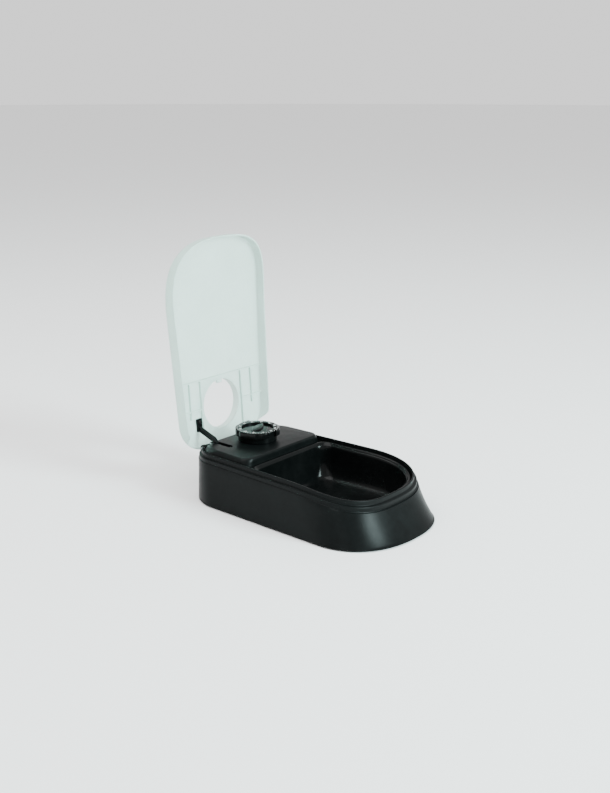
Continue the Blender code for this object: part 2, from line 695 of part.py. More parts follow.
def make_dial_ring(mat, coll, tools):
    count = 72

    def ring(radius, z, grip=0.0):
        out = []
        for k in range(count):
            t = 2 * math.pi * k / count
            r = radius - grip * (0.5 - 0.5 * math.cos(12 * t)) ** 2
            out.append(Vector((r * math.cos(t), DIAL_Y + r * math.sin(t), z)))
        return out

    low = PLATFORM_Z + 0.4
    bore = SHAFT_R + 0.5
    rings = [ring(bore, DIAL_TOP - 4.9), ring(bore, low)]
    rings += [ring(NECK_R - 0.4, low), ring(NECK_R, low + 0.4)]
    rings += [ring(NECK_R, RING_LOW - 0.3), ring(NECK_R + 0.4, RING_LOW)]
    rings += [ring(DIAL_R - 0.5, RING_LOW, 0.5), ring(DIAL_R, RING_LOW + 0.6, 0.9)]
    rings += [ring(DIAL_R - 0.2, DIAL_TOP - 1.0, 0.9), ring(DIAL_R - 1.0, DIAL_TOP, 0.5)]
    well = DIAL_R - 6.6
    rings += [ring(well, DIAL_TOP), ring(well - 0.4, DIAL_TOP - 0.4)]
    rings += [ring(well - 0.6, DIAL_TOP - 3.2)]
    bm = bmesh.new()
    loft(bm, rings, cap_first=True, cap_last=True)
    dial = add_object("dial_ring", bm, mat, coll)
    cut_box(dial, "tool_dial_notch", (-NOTCH_HALF, DIAL_Y - DIAL_R - 3.0, PLATFORM_Z - 4.0),
            (NOTCH_HALF, DIAL_Y - DIAL_R + NOTCH_DEPTH, DIAL_TOP + 5.0), tools)
    return dial


def make_dial_cap(mat, coll, tools):
    low = DIAL_TOP - 2.9
    edge = DIAL_R - 7.5
    bm = bmesh.new()
    cylinder(bm, Vector((0, DIAL_Y, 0)), edge, low, low + 1.1, 40)
    cap = add_object("dial_cap", bm, mat, coll)
    # leaf shaped finger bar across the recess
    bm = bmesh.new()
    rings = []
    reach = edge - 1.1
    for z, grow in ((low + 0.5, 1.0), (low + 2.4, 1.0), (low + 2.8, 0.92)):
        loop = []
        for side in (1, -1):
            for k in range(12):
                t = k / 12
                along = reach * (1 - 2 * t) * side
                across = 4.8 * math.sin(math.pi * t) ** 0.8 * side
                point = Vector((along * grow, across * grow, 0))
                point.rotate(Matrix.Rotation(math.radians(20), 3, "Z"))
                loop.append(Vector((point.x, DIAL_Y + point.y, z)))
        rings.append(loop)
    loft(bm, rings, cap_first=True, cap_last=True)
    boolean(cap, helper("tool_finger_bar", bm, tools), "UNION")
    return cap


def gear(bm, centre, teeth, low, high, phase=0.0):
    pitch = teeth * MODULE / 2
    tip, root = pitch + 0.75 * MODULE, pitch - 1.05 * MODULE
    outline = []
    step = 2 * math.pi / teeth
    for k in range(teeth):
        base = phase + k * step
        for radius, share in ((root, -0.33), (tip, -0.13), (tip, 0.13), (root, 0.33)):
            t = base + share * step
            outline.append((radius, t))

    points = [centre + Vector((r * math.cos(t), r * math.sin(t), low)) for r, t in outline]
    plate(bm, points, Vector((0, 0, high - low)))


MIDDLE_TURN = math.radians(270)
MIDDLE_REACH = (DIAL_TEETH + PINION_TEETH) * MODULE / 2 + MESH_GAP
MIDDLE = Vector((MIDDLE_REACH * math.cos(MIDDLE_TURN),
                 DIAL_Y + MIDDLE_REACH * math.sin(MIDDLE_TURN), 0.0))
ROTOR_TURN = math.radians(20)
ROTOR_REACH = (IDLE_TEETH + ROTOR_TEETH) * MODULE / 2 + MESH_GAP
ROTOR = MIDDLE + Vector((ROTOR_REACH * math.cos(ROTOR_TURN),
                         ROTOR_REACH * math.sin(ROTOR_TURN), 0.0))


def meshing_phase(direction, teeth, phase, other_teeth):
    # turn of a second gear whose axis lies in this direction from the first
    share = (direction - phase) * teeth / (2 * math.pi)
    return direction + math.pi - (0.5 - share) * 2 * math.pi / other_teeth


def add_tool(obj, name, bm, tools, operation="UNION"):
    boolean(obj, helper(name, bm, tools), operation)


def make_case(mat, coll, tools):
    inner = CASE_R - 1.8
    low = CASE_LOW
    profile = [(CASE_R - 1.6, low), (CASE_R, low + 1.4), (CASE_R, CASE_TOP), (inner, CASE_TOP),
               (inner, low + 2.4), (inner - 0.6, low + 1.8)]
    case = turned("timer_case", profile, (0, DIAL_Y, 0), mat, coll, 40)
    for side, name in ((-1, "left"), (1, "right")):
        near, far = sorted((side * (CASE_R - 2.1), side * (EAR_X + 3.2)))
        cut_box(case, "tool_ear_" + name, (near, EAR_Y - 3.6, CASE_TOP - 2.8),
                (far, EAR_Y + 3.6, CASE_TOP - 0.2), tools, "UNION")
        cut_round(case, "tool_ear_hole_" + name, (side * EAR_X, EAR_Y, 0), 1.3, CASE_TOP - 5.0,
                  CASE_TOP + 1.0, tools, count=12)
    return case


def make_case_lid(mat, coll):
    low, high = CASE_TOP + GAP, PLATFORM_Z - COVER_T - GAP
    profile = [(SHAFT_R + 0.8, high - 1.8), (CASE_R - 2.2, high - 1.8), (CASE_R - 2.2, low),
               (CASE_R, low), (CASE_R, high - 0.6), (CASE_R - 0.6, high), (SHAFT_R + 0.8, high)]
    return turned("timer_case_lid", profile, (0, DIAL_Y, 0), mat, coll, 40, ring=True)


def make_train(mats, coll, tools):
    # wheels of the clockwork: rotor, middle wheel, dial wheel
    here = Vector((0, DIAL_Y, 0))
    floor = CASE_LOW + 2.2
    roof = CASE_TOP + 0.9
    shaft = [(SHAFT_R - 0.4, floor + 1.2), (SHAFT_R, floor + 1.6), (SHAFT_R, DIAL_TOP - 5.7),
             (SHAFT_R - 0.4, DIAL_TOP - 5.3)]
    turned("dial_shaft", shaft, here, mats["brass"], coll, 20)
    bm = bmesh.new()
    gear(bm, here, DIAL_TEETH, CASE_TOP - 5.4, CASE_TOP - 2.6)
    wheel = add_object("dial_wheel", bm, mats["nylon"], coll)
    cut_round(wheel, "tool_wheel_bore", here, SHAFT_R + 0.2, CASE_TOP - 8.0, CASE_TOP, tools)

    bm = bmesh.new()
    gear(bm, MIDDLE, PINION_TEETH, CASE_TOP - 10.0, CASE_TOP - 1.6,
         meshing_phase(MIDDLE_TURN, DIAL_TEETH, 0.0, PINION_TEETH))
    wheel = add_object("middle_wheel", bm, mats["nylon"], coll)
    bm = bmesh.new()
    gear(bm, MIDDLE, IDLE_TEETH, CASE_TOP - 11.2, CASE_TOP - 8.6)
    add_tool(wheel, "tool_middle_teeth", bm, tools)
    cut_round(wheel, "tool_middle_arbor", MIDDLE, 1.2, floor, roof, tools, "UNION", count=12)

    bm = bmesh.new()
    gear(bm, ROTOR, ROTOR_TEETH, CASE_TOP - 12.4, CASE_TOP - 8.0,
         meshing_phase(ROTOR_TURN, IDLE_TEETH, 0.0, ROTOR_TEETH))
    rotor = add_object("motor_rotor", bm, mats["nylon"], coll)
    cut_round(rotor, "tool_magnet", ROTOR, 4.4, floor + 1.2, CASE_TOP - 11.8, tools, "UNION")
    cut_round(rotor, "tool_rotor_arbor", ROTOR, 1.0, floor, roof, tools, "UNION", count=12)


def make_electrics(mats, coll, tools):
    floor = CASE_LOW + 2.1
    bm = bmesh.new()
    box(bm, (-20.5, DIAL_Y - 10.5, floor), (-7.0, DIAL_Y + 10.5, floor + 1.2))
    board = add_object("circuit_board", bm, mats["board"], coll)
    cut_box(board, "tool_chip", (-19.0, DIAL_Y - 8.5, floor + 0.9),
            (-15.5, DIAL_Y - 4.5, floor + 2.1), tools, "UNION")
    profile = [(3.7, -5.8), (3.7, -4.6), (2.9, -4.6), (2.9, 4.6), (3.7, 4.6), (3.7, 5.8)]
    turned("motor_coil", profile, (-12.0, DIAL_Y + 3.3, floor + 5.3), mats["copper"], coll, 20,
           "Y")
    end = CELL_HALF
    profile = [(CELL_R - 0.7, -end), (CELL_R, 0.4 - end), (CELL_R, end), (CELL_R - 0.7, end + 0.6),
               (2.7, end + 0.6), (2.7, end + 1.7), (2.4, end + 1.9)]
    turned("battery", profile, (0, CELL_Y, CELL_Z), mats["cell"], coll, 24, "X")
    # spring strips, bent so that each end bears on the cell
    minus = [(-4.9, 7.1), (-4.9, -5.4), (-3.9, -6.2), (-0.6, -1.4), (-0.5, 1.2), (-2.9, 4.2)]
    plus = [(4.9, 7.1), (4.9, -5.4), (4.1, -6.0), (2.6, -1.2), (2.3, 1.0), (3.5, 4.2)]
    for name, side, points in (("contact_minus", -1, minus), ("contact_plus", 1, plus)):
        spots = [Vector((side * end + x, CELL_Z + z)) for x, z in points]
        outline = [Vector((q.x, CELL_Y - 4.0, q.y)) for q in offset_path(spots, 0.22)]
        bm = bmesh.new()
        plate(bm, outline, Vector((0, 8.0, 0)))
        add_object(name, bm, mats["steel"], coll)


def make_door(mat, coll, tools):
    bm = bmesh.new()
    box(bm, (-DOOR_X, CELL_Y - DOOR_Y, FLOOR_LOW), (DOOR_X, CELL_Y + DOOR_Y, FLOOR_LOW + 1.1))
    door = add_object("battery_door", bm, mat, coll)
    for index, x in enumerate((-16.0, 16.0)):
        cut_box(door, "tool_cradle_%d" % index, (x - 1.0, CELL_Y - 8.0, FLOOR_LOW + 0.5),
                (x + 1.0, CELL_Y + 8.0, CELL_Z - CELL_R - GAP), tools, "UNION")
    cut_box(door, "tool_finger", (-9.0, CELL_Y + DOOR_Y - 5.1, FLOOR_LOW - 1.5),
            (9.0, CELL_Y + DOOR_Y - 3.1, FLOOR_LOW + 0.5), tools)
    return door


def make_fasteners(mats, coll):
    head = FLOOR_LOW - GAP
    profile = [(2.2, head - 1.7), (3.0, head - 1.2), (3.0, head), (1.3, head), (1.3, 15.6),
               (0.6, 16.6)]
    for index, (x, y) in enumerate(SCREWS):
        turned("cover_screw_%d" % (index + 1), profile, (x, y, 0), mats["steel"], coll, 16)
    head = CASE_TOP - 3.1
    profile = [(2.0, head - 1.7), (2.4, head - 1.3), (2.4, head), (1.0, head), (1.0, head + 5.1),
               (0.5, head + 5.7)]
    for index, side in enumerate((-1, 1)):
        turned("case_screw_%d" % (index + 1), profile, (side * EAR_X, EAR_Y, 0), mats["steel"],
               coll, 14)
    profile = [(5.4, 0.0), (6.0, 0.5), (6.0, FLOOR_LOW - GAP)]
    for index, (x, y) in enumerate(FEET):
        turned("foot_%d" % (index + 1), profile, (x, y, 0), mats["rubber"], coll, 24)


def empty(name, spot, coll):
    obj = bpy.data.objects.new(name, None)
    obj.empty_display_size = 0.02
    obj.location = Vector(spot) * MM
    coll.objects.link(obj)
    return obj


def hang(obj, parent):
    # keeps the object where it is in the world
    obj.parent = parent
    obj.matrix_parent_inverse = parent.matrix_world.inverted()


def hang_moving_pieces(coll, root):
    # each moving body hangs from an empty on its joint's axis, its cutters with it
    groups = (
        ("axis_lid", PIVOT, ("lid", "lid_arm_left", "lid_arm_right", "lid_rivet_left",
                             "lid_rivet_right")),
        ("axis_dial", (0, DIAL_Y, PLATFORM_Z), ("dial_ring", "dial_cap", "dial_shaft",
                                                "dial_wheel")),
        ("axis_middle_wheel", MIDDLE, ("middle_wheel",)),
        ("axis_motor_rotor", ROTOR, ("motor_rotor",)),
        ("axis_bowl", (0, 0, BED_Z), ("bowl_tray",)),
        ("axis_battery_door", (0, CELL_Y, FLOOR_LOW), ("battery_door",)),
    )
    for name, spot, members in groups:
        axis = empty(name, spot, coll)
        bpy.context.view_layer.update()
        for member in members:
            piece = bpy.data.objects[member]
            hang(piece, axis)
            for mod in piece.modifiers:
                if mod.type == "BOOLEAN":
                    hang(mod.object, axis)
        hang(axis, root)


def centre_on_origin(coll, tools):
    # everything hangs from one empty, which brings the middle of the whole part over the origin
    root = empty("pet_feeder_origin", (0, 0, 0), coll)
    bpy.context.view_layer.update()
    hang_moving_pieces(coll, root)
    for obj in list(coll.objects) + list(tools.objects):
        if obj.parent is None and obj is not root:
            hang(obj, root)
    bpy.context.view_layer.update()
    graph = bpy.context.evaluated_depsgraph_get()
    ys = []
    for obj in coll.objects:
        if obj.type == "EMPTY":
            continue
        done = obj.evaluated_get(graph)
        ys += [(done.matrix_world @ vert.co).y for vert in done.to_mesh().vertices]
        done.to_mesh_clear()
    root.location.y = -round((min(ys) + max(ys)) / 2, 4)


def main():
    clear_scene()
    coll = new_collection("pet_feeder")
    tools = new_collection("pet_feeder_tools", hidden=True)
    mats = {
        "base": material("black_satin_plastic", (0.012, 0.014, 0.015), 0.42),
        "bowl": material("black_bowl_plastic", (0.008, 0.009, 0.010), 0.22),
        "lid": material("clear_milky_plastic", (0.78, 0.84, 0.82), 0.3, 0.0, 0.3),
        "dial": material("black_gloss_plastic", (0.01, 0.011, 0.012), 0.2),
        "steel": material("bright_steel", (0.6, 0.6, 0.6), 0.28, 1.0),
        "brass": material("brass", (0.72, 0.55, 0.25), 0.3, 1.0),
        "nylon": material("white_nylon", (0.75, 0.74, 0.7), 0.5),
        "case": material("grey_case_plastic", (0.25, 0.26, 0.27), 0.5),
        "rubber": material("black_rubber", (0.02, 0.02, 0.02), 0.85),
        "cell": material("battery_sleeve", (0.1, 0.12, 0.15), 0.35, 0.3),
        "copper": material("copper_wire", (0.7, 0.32, 0.18), 0.35, 1.0),
        "board": material("circuit_board", (0.03, 0.16, 0.08), 0.45),
    }
    make_base(mats["base"], coll, tools)
    make_cover(mats["base"], coll, tools)
    make_tray(mats["bowl"], coll)
    make_lid(mats["lid"], coll, tools)
    for side, name in ((-1, "left"), (1, "right")):
        make_arm("lid_arm_" + name, side, mats["base"], coll, tools)
        make_rivet("lid_rivet_" + name, side, mats["steel"], coll)
        make_spring("torsion_spring_" + name, side, mats["steel"], coll)
    make_axle(mats["steel"], coll)
    make_dial_ring(mats["dial"], coll, tools)
    make_dial_cap(mats["dial"], coll, tools)
    make_case(mats["case"], coll, tools)
    make_case_lid(mats["case"], coll)
    make_train(mats, coll, tools)
    make_electrics(mats, coll, tools)
    make_door(mats["base"], coll, tools)
    make_fasteners(mats, coll)
    centre_on_origin(coll, tools)


main()
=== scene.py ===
import math

import bmesh
import bpy
from mathutils import Matrix, Vector


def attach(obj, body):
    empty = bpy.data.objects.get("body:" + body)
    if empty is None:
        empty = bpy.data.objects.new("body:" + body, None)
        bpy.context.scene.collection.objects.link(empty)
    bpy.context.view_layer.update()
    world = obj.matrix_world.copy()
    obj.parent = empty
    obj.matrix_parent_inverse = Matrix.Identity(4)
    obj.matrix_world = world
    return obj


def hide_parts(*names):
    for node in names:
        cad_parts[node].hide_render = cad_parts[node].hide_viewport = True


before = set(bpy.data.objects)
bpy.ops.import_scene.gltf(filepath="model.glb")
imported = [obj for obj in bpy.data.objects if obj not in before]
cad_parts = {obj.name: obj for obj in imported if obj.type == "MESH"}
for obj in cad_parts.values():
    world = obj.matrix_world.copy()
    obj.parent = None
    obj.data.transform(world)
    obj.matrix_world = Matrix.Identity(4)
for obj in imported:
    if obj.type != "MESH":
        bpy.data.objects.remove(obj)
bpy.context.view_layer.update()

# ---------------------------------------------------------------- camera
# A standing look down at the feeder from its front right corner, about a metre away,
# with the long side of the base running off to the left.
turn, tilt = math.radians(-49.11), math.radians(16.25)
back = Vector((math.sin(turn) * math.cos(tilt), -math.cos(turn) * math.cos(tilt), math.sin(tilt)))
right = Vector((math.cos(turn), math.sin(turn), 0.0))
upward = back.cross(right)
eye = -0.025629 * right + 0.111071 * upward + 1.12253 * back + Vector((0.0, -0.0091, 0.0))
lens = bpy.data.cameras.new("camera")
lens.sensor_width = 36.0
lens.lens = 51.51
lens.shift_x = 0.0190
lens.shift_y = -0.0016
lens.clip_end = 100.0
camera = bpy.data.objects.new("camera", lens)
turned_view = Matrix((right, upward, back)).transposed().to_4x4()
camera.matrix_world = Matrix.Translation(eye) @ turned_view
bpy.context.scene.collection.objects.link(camera)
bpy.context.scene.camera = camera

# ---------------------------------------------------------------- floor and light
# A plain pale floor with soft studio light: a bright tent all round, a broad panel overhead
# and a tall soft panel at the front, which draws the long highlights on the black plastic.
world = bpy.data.worlds.new("studio_tent")
world.use_nodes = True
world.node_tree.nodes["Background"].inputs["Color"].default_value = (1.0, 1.0, 1.0, 1.0)
world.node_tree.nodes["Background"].inputs["Strength"].default_value = 1.25
bpy.context.scene.world = world

disc = bmesh.new()
bmesh.ops.create_circle(disc, cap_ends=True, segments=96, radius=12.0)
floor_mesh = bpy.data.meshes.new("floor")
disc.to_mesh(floor_mesh)
disc.free()
floor = bpy.data.objects.new("floor", floor_mesh)
bpy.context.scene.collection.objects.link(floor)
pale = bpy.data.materials.new("pale_floor")
pale.use_nodes = True
pale.node_tree.nodes["Principled BSDF"].inputs["Base Color"].default_value = (0.86, 0.86, 0.86, 1)
pale.node_tree.nodes["Principled BSDF"].inputs["Roughness"].default_value = 0.7
floor_mesh.materials.append(pale)


def panel(name, place, target, width, height, power, tint=(1.0, 1.0, 1.0)):
    light = bpy.data.lights.new(name, "AREA")
    light.shape = "RECTANGLE"
    light.size = width
    light.size_y = height
    light.energy = power
    light.color = tint
    lamp = bpy.data.objects.new(name, light)
    lamp.location = place
    aim = Vector(target) - Vector(place)
    lamp.rotation_euler = aim.to_track_quat("-Z", "Y").to_euler()
    bpy.context.scene.collection.objects.link(lamp)


panel("overhead_panel", (-0.5, 0.3, 1.7), (0, 0, 0.1), 1.6, 1.6, 40.0)
panel("front_panel", (0.35, -1.9, 0.9), (0, 0, 0.1), 0.7, 1.3, 130.0,
      (0.78, 1.0, 1.0))
panel("side_panel", (-1.8, -0.7, 0.9), (0, 0, 0.1), 0.9, 1.2, 3.0)

# ---------------------------------------------------------------- base shell
# The flared base is one black injection moulding with a satin, finely spark-eroded skin.
# Its top edge steps in to a ledge for the lid and rises again as a thin lip; a floor, a cross
# wall, the battery room and the four hinge lugs are moulded in one with it.
MM = 0.001
CENTRED = Vector((0.0, -9.1, 0.0))
REAR_Y, FOOT_FRONT_Y, RIM_FRONT_Y = 120.0, -120.0, -97.0
LEDGE_Z, SHOULDER_Z, LIP_Z, SEAT_Z, BED_Z = 46.0, 41.8, 50.4, 45.0, 45.3
FLOOR_LOW, FLOOR_TOP, SKIRT_Z, WALL = 2.5, 5.0, 1.0, 2.4
RIM_HALF, RIM_TAPER, FRONT_START_Y, RIM_POWER = 65.3, 0.040, -34.0, 2.9
RIM_DIP, DIP_START_Y = 0.0020, -20.0
PIVOT = Vector((0.0, 114.4, 47.0))
ARM_X, AXLE_R, BORE_R = 35.0, 1.5, 1.75


def dip(y):
    return -RIM_DIP * min(0.0, y - DIP_START_Y) ** 2


def rim_half(inset):
    return lambda y: RIM_HALF - RIM_TAPER * y - inset


def foot_half(inset):
    return lambda y: 70.9 - 0.018 * y - inset


def plan(width, rear_y, rear_r, side_end, front_y, power, rear=8, corner=14, sides=20, front=34):
    half = []
    side_top = rear_y - rear_r
    inner = width(side_top) - rear_r
    for k in range(rear):
        half.append((inner * k / rear, rear_y))
    for k in range(corner):
        t = math.pi / 2 * k / corner
        half.append((inner + rear_r * math.sin(t), side_top + rear_r * math.cos(t)))
    for k in range(sides):
        y = side_top + (side_end - side_top) * k / sides
        half.append((width(y), y))
    for k in range(front + 1):
        t = math.pi / 2 * k / front
        y = side_end + (front_y - side_end) * math.sin(t) ** (2 / power)
        half.append((width(side_end) * max(0.0, math.cos(t)) ** (2 / power), y))
    half[-1] = (0.0, front_y)
    return half + [(-x, y) for x, y in reversed(half[1:-1])]


def rim_plan(inset):
    return plan(rim_half(inset), REAR_Y - inset, 33.0 - inset, FRONT_START_Y,
                RIM_FRONT_Y + inset, RIM_POWER)


def foot_plan(inset):
    return plan(foot_half(inset), REAR_Y - inset, 44.0 - inset, -60.0, FOOT_FRONT_Y + inset, 2.3)


def between(low, high, share):
    return [(a[0] + (b[0] - a[0]) * share, a[1] + (b[1] - a[1]) * share)
            for a, b in zip(low, high)]


def at_height(loop, height):
    if callable(height):
        return [Vector((x, y, height(y))) for x, y in loop]
    return [Vector((x, y, height)) for x, y in loop]


def dipped(z, part=1.0):
    return lambda y: z + part * dip(y)


def wall_ring(inset, share):
    eased = 1.0 - (1.0 - share) ** 1.35
    loop = between(foot_plan(inset), rim_plan(inset), eased)
    return at_height(loop, lambda y: SKIRT_Z + share * (LEDGE_Z + dip(y) - SKIRT_Z))


def rounded_edge(first, last, corner, steps=5):
    # points of a quarter turn from first to last that bulges toward corner
    out = []
    for k in range(steps + 1):
        t = k / steps
        a, b = (1 - t) ** 2, t ** 2
        c = 2 * t * (1 - t)
        out.append(tuple(a * f + c * m + b * l for f, m, l in zip(first, corner, last)))
    return out


def finish_mesh(name, mesh_data, sharp=32.0):
    bmesh.ops.remove_doubles(mesh_data, verts=mesh_data.verts, dist=0.002)
    bmesh.ops.recalc_face_normals(mesh_data, faces=mesh_data.faces)
    for vert in mesh_data.verts:
        vert.co = (vert.co + CENTRED) * MM
    mesh = bpy.data.meshes.new(name)
    mesh_data.to_mesh(mesh)
    mesh_data.free()
    for poly in mesh.polygons:
        poly.use_smooth = True
    mesh.set_sharp_from_angle(angle=math.radians(sharp))
    obj = bpy.data.objects.new(name, mesh)
    bpy.context.scene.collection.objects.link(obj)
    return obj


def skin(mesh_data, rings, cap_first=False, cap_last=False, closed=False):
    loops = [[mesh_data.verts.new(point) for point in ring] for ring in rings]
    pairs = list(zip(loops, loops[1:]))
    if closed:
        pairs.append((loops[-1], loops[0]))
    for low, high in pairs:
        for i in range(len(low)):
            j = (i + 1) % len(low)
            mesh_data.faces.new((low[i], low[j], high[j], high[i]))
    if cap_first:
        mesh_data.faces.new(list(reversed(loops[0])))
    if cap_last:
        mesh_data.faces.new(loops[-1])


def block(low, high, soft=0.0):
    solid = bmesh.new()
    bmesh.ops.create_cube(solid, size=1.0)
    bmesh.ops.scale(solid, vec=[b - a for a, b in zip(low, high)], verts=solid.verts)
    bmesh.ops.translate(solid, vec=[(a + b) / 2 for a, b in zip(low, high)], verts=solid.verts)
    if soft:
        bmesh.ops.bevel(solid, geom=solid.edges[:], offset=soft, segments=3, profile=0.5,
                        affect="EDGES")
    return solid


def rod(centre, radius, low, high, sides=32, along="Z"):
    solid = bmesh.new()
    bmesh.ops.create_cone(solid, cap_ends=True, segments=sides, radius1=radius, radius2=radius,
                          depth=high - low)
    bmesh.ops.translate(solid, vec=(0, 0, (low + high) / 2), verts=solid.verts)
    if along == "X":
        bmesh.ops.rotate(solid, cent=(0, 0, 0), matrix=Matrix.Rotation(math.pi / 2, 3, "Y"),
                         verts=solid.verts)
    bmesh.ops.translate(solid, vec=centre, verts=solid.verts)
    return solid


def shaped(obj, steps, sharp=32.0):
    # joins or cuts each tool in turn, then keeps the result as a plain mesh
    for operation, solid in steps:
        tool = finish_mesh("tool", solid)
        change = obj.modifiers.new("shape", "BOOLEAN")
        change.operation = operation
        change.solver = "EXACT"
        change.object = tool
        bpy.context.view_layer.update()
        done = bpy.data.meshes.new_from_object(
            obj.evaluated_get(bpy.context.evaluated_depsgraph_get()))
        obj.modifiers.clear()
        old = obj.data
        obj.data = done
        bpy.data.meshes.remove(old)
        bpy.data.objects.remove(tool, do_unlink=True)
    for poly in obj.data.polygons:
        poly.use_smooth = True
    obj.data.set_sharp_from_angle(angle=math.radians(sharp))
    return obj


rings = [at_height(foot_plan(3.0), FLOOR_LOW)]
for inset, z in rounded_edge((2.6, SKIRT_Z + 0.4), (1.9, SKIRT_Z), (2.6, SKIRT_Z), 3):
    rings.append(at_height(foot_plan(inset), z))
for inset, z in rounded_edge((0.5, SKIRT_Z), (0.0, SKIRT_Z + 0.6), (0.0, SKIRT_Z), 4):
    rings.append(at_height(foot_plan(inset), z))
for share in (0.04, 0.09, 0.15, 0.22, 0.3, 0.39, 0.48, 0.58, 0.68, 0.78, 0.86):
    rings.append(wall_ring(0.0, share))
profile = rounded_edge((-0.2, SHOULDER_Z - 0.9), (0.5, SHOULDER_Z + 0.2),
                       (-0.2, SHOULDER_Z + 0.2), 5)
profile += rounded_edge((0.5, SHOULDER_Z + 0.3), (0.6, SHOULDER_Z + 0.9), (0.6, SHOULDER_Z + 0.4), 2)
profile += rounded_edge((0.6, LEDGE_Z - 0.9), (1.5, LEDGE_Z), (0.6, LEDGE_Z), 5)
profile += rounded_edge((2.6, LEDGE_Z), (3.05, LEDGE_Z + 0.5), (3.05, LEDGE_Z), 3)
profile += rounded_edge((3.2, LIP_Z - 0.7), (3.9, LIP_Z), (3.2, LIP_Z), 5)
profile += rounded_edge((4.1, LIP_Z), (4.8, LIP_Z - 0.7), (4.8, LIP_Z), 5)
profile += [(5.0, SEAT_Z + 0.3), (5.3, SEAT_Z), (7.2, SEAT_Z), (7.2, SEAT_Z - 2.0)]
for inset, z in profile:
    rings.append(at_height(rim_plan(inset), dipped(z)))
for share in (0.93, 0.8, 0.6, 0.35, 0.2):
    rings.append(wall_ring(WALL, share))
rings.append(at_height(between(foot_plan(WALL), rim_plan(WALL), 0.12), FLOOR_TOP))
solid = bmesh.new()
skin(solid, rings, cap_first=True, cap_last=True)
base = finish_mesh("base_shell_moulding", solid)

solid = bmesh.new()
edge_y, top = 38.0, SEAT_Z - 0.1
outline = [(edge_y, 4.0), (edge_y + WALL, 4.0), (edge_y + WALL, top - 2.3),
           (edge_y + WALL + 2.8, top - 2.3), (edge_y + WALL + 2.8, top), (edge_y - 0.2, top),
           (edge_y - 0.2, top - 2.3), (edge_y, top - 2.3)]
ends = [[Vector((side * (68.6 - 0.142 * (z - 4.0)), y, z)) for y, z in outline]
        for side in (-1, 1)]
skin(solid, ends, cap_first=True, cap_last=True)
steps = [("UNION", solid)]
steps.append(("UNION", block((-31.5, 55.0, 4.0), (31.5, 77.0, 24.0))))
steps.append(("DIFFERENCE", block((-29.7, 56.8, 1.0), (29.7, 75.2, 22.2))))
steps.append(("DIFFERENCE", block((-32.6, 54.0, 1.0), (32.6, 78.0, 3.9))))
steps.append(("DIFFERENCE", block((-44.0, 106.0, 40.0), (44.0, 117.5, 60.0))))
y, z = PIVOT.y, PIVOT.z
outline = [(y - 3.4, z - 13.0), (y + 4.2, z - 13.0), (y + 4.2, z + 1.0)]
outline += [(y + 0.4 + 3.8 * math.cos(t), z - 0.6 + 3.8 * math.sin(t))
            for t in (math.radians(a) for a in range(30, 160, 10))]
outline += [(y - 3.4, z + 0.2)]
for x in (-41.0, -29.0, 26.4, 38.4):
    solid = bmesh.new()
    skin(solid, [[Vector((x + dx, *point)) for point in outline] for dx in (0.0, 2.6)],
         cap_first=True, cap_last=True)
    steps.append(("UNION", solid))
steps.append(("DIFFERENCE", rod((0, PIVOT.y, PIVOT.z), BORE_R, -45.0, 45.0, 32, "X")))
SCREWS = ((-48.6, 52.0), (48.6, 52.0), (-46.0, 93.0), (46.0, 93.0))
for x, y in SCREWS:
    steps.append(("DIFFERENCE", rod((x, y, 0), 1.8, 0.0, 8.0)))
shaped(base, steps)


def named_group(name, ins, outs):
    group = bpy.data.node_groups.new(name, "ShaderNodeTree")
    for label, kind, value in ins:
        socket = group.interface.new_socket(label, in_out="INPUT", socket_type=kind)
        socket.default_value = value
    for label, kind in outs:
        group.interface.new_socket(label, in_out="OUTPUT", socket_type=kind)
    return group


def moulded_grain_group():
    # fine eroded grain, broad flow marks and faint handling smudges of a moulded skin
    group = named_group("moulded_grain", (("Grain Scale", "NodeSocketFloat", 2600.0),
                                          ("Roughness", "NodeSocketFloat", 0.4),
                                          ("Smudge", "NodeSocketFloat", 0.06)),
                        (("Roughness", "NodeSocketFloat"), ("Height", "NodeSocketFloat"),
                         ("Shade", "NodeSocketFloat")))
    nodes, links = group.nodes, group.links
    given = nodes.new("NodeGroupInput")
    out = nodes.new("NodeGroupOutput")
    place = nodes.new("ShaderNodeTexCoord")
    grain = nodes.new("ShaderNodeTexNoise")
    grain.inputs["Detail"].default_value = 3.0
    grain.inputs["Roughness"].default_value = 0.6
    links.new(place.outputs["Object"], grain.inputs["Vector"])
    links.new(given.outputs["Grain Scale"], grain.inputs["Scale"])
    flow = nodes.new("ShaderNodeTexNoise")
    flow.inputs["Scale"].default_value = 26.0
    flow.inputs["Detail"].default_value = 4.0
    links.new(place.outputs["Object"], flow.inputs["Vector"])
    smear = nodes.new("ShaderNodeTexNoise")
    smear.inputs["Scale"].default_value = 95.0
    smear.inputs["Detail"].default_value = 6.0
    smear.inputs["Distortion"].default_value = 1.2
    links.new(place.outputs["Object"], smear.inputs["Vector"])
    mixed = nodes.new("ShaderNodeMath")
    mixed.operation = "MULTIPLY"
    links.new(flow.outputs["Fac"], mixed.inputs[0])
    links.new(smear.outputs["Fac"], mixed.inputs[1])
    spread = nodes.new("ShaderNodeMapRange")
    spread.inputs["From Min"].default_value = 0.12
    spread.inputs["From Max"].default_value = 0.42
    spread.inputs["To Min"].default_value = -1.0
    spread.inputs["To Max"].default_value = 1.0
    links.new(mixed.outputs["Value"], spread.inputs["Value"])
    rough = nodes.new("ShaderNodeMath")
    rough.operation = "MULTIPLY_ADD"
    links.new(spread.outputs["Result"], rough.inputs[0])
    links.new(given.outputs["Smudge"], rough.inputs[1])
    links.new(given.outputs["Roughness"], rough.inputs[2])
    links.new(rough.outputs["Value"], out.inputs["Roughness"])
    links.new(grain.outputs["Fac"], out.inputs["Height"])
    links.new(mixed.outputs["Value"], out.inputs["Shade"])
    return group


moulded_grain = moulded_grain_group()


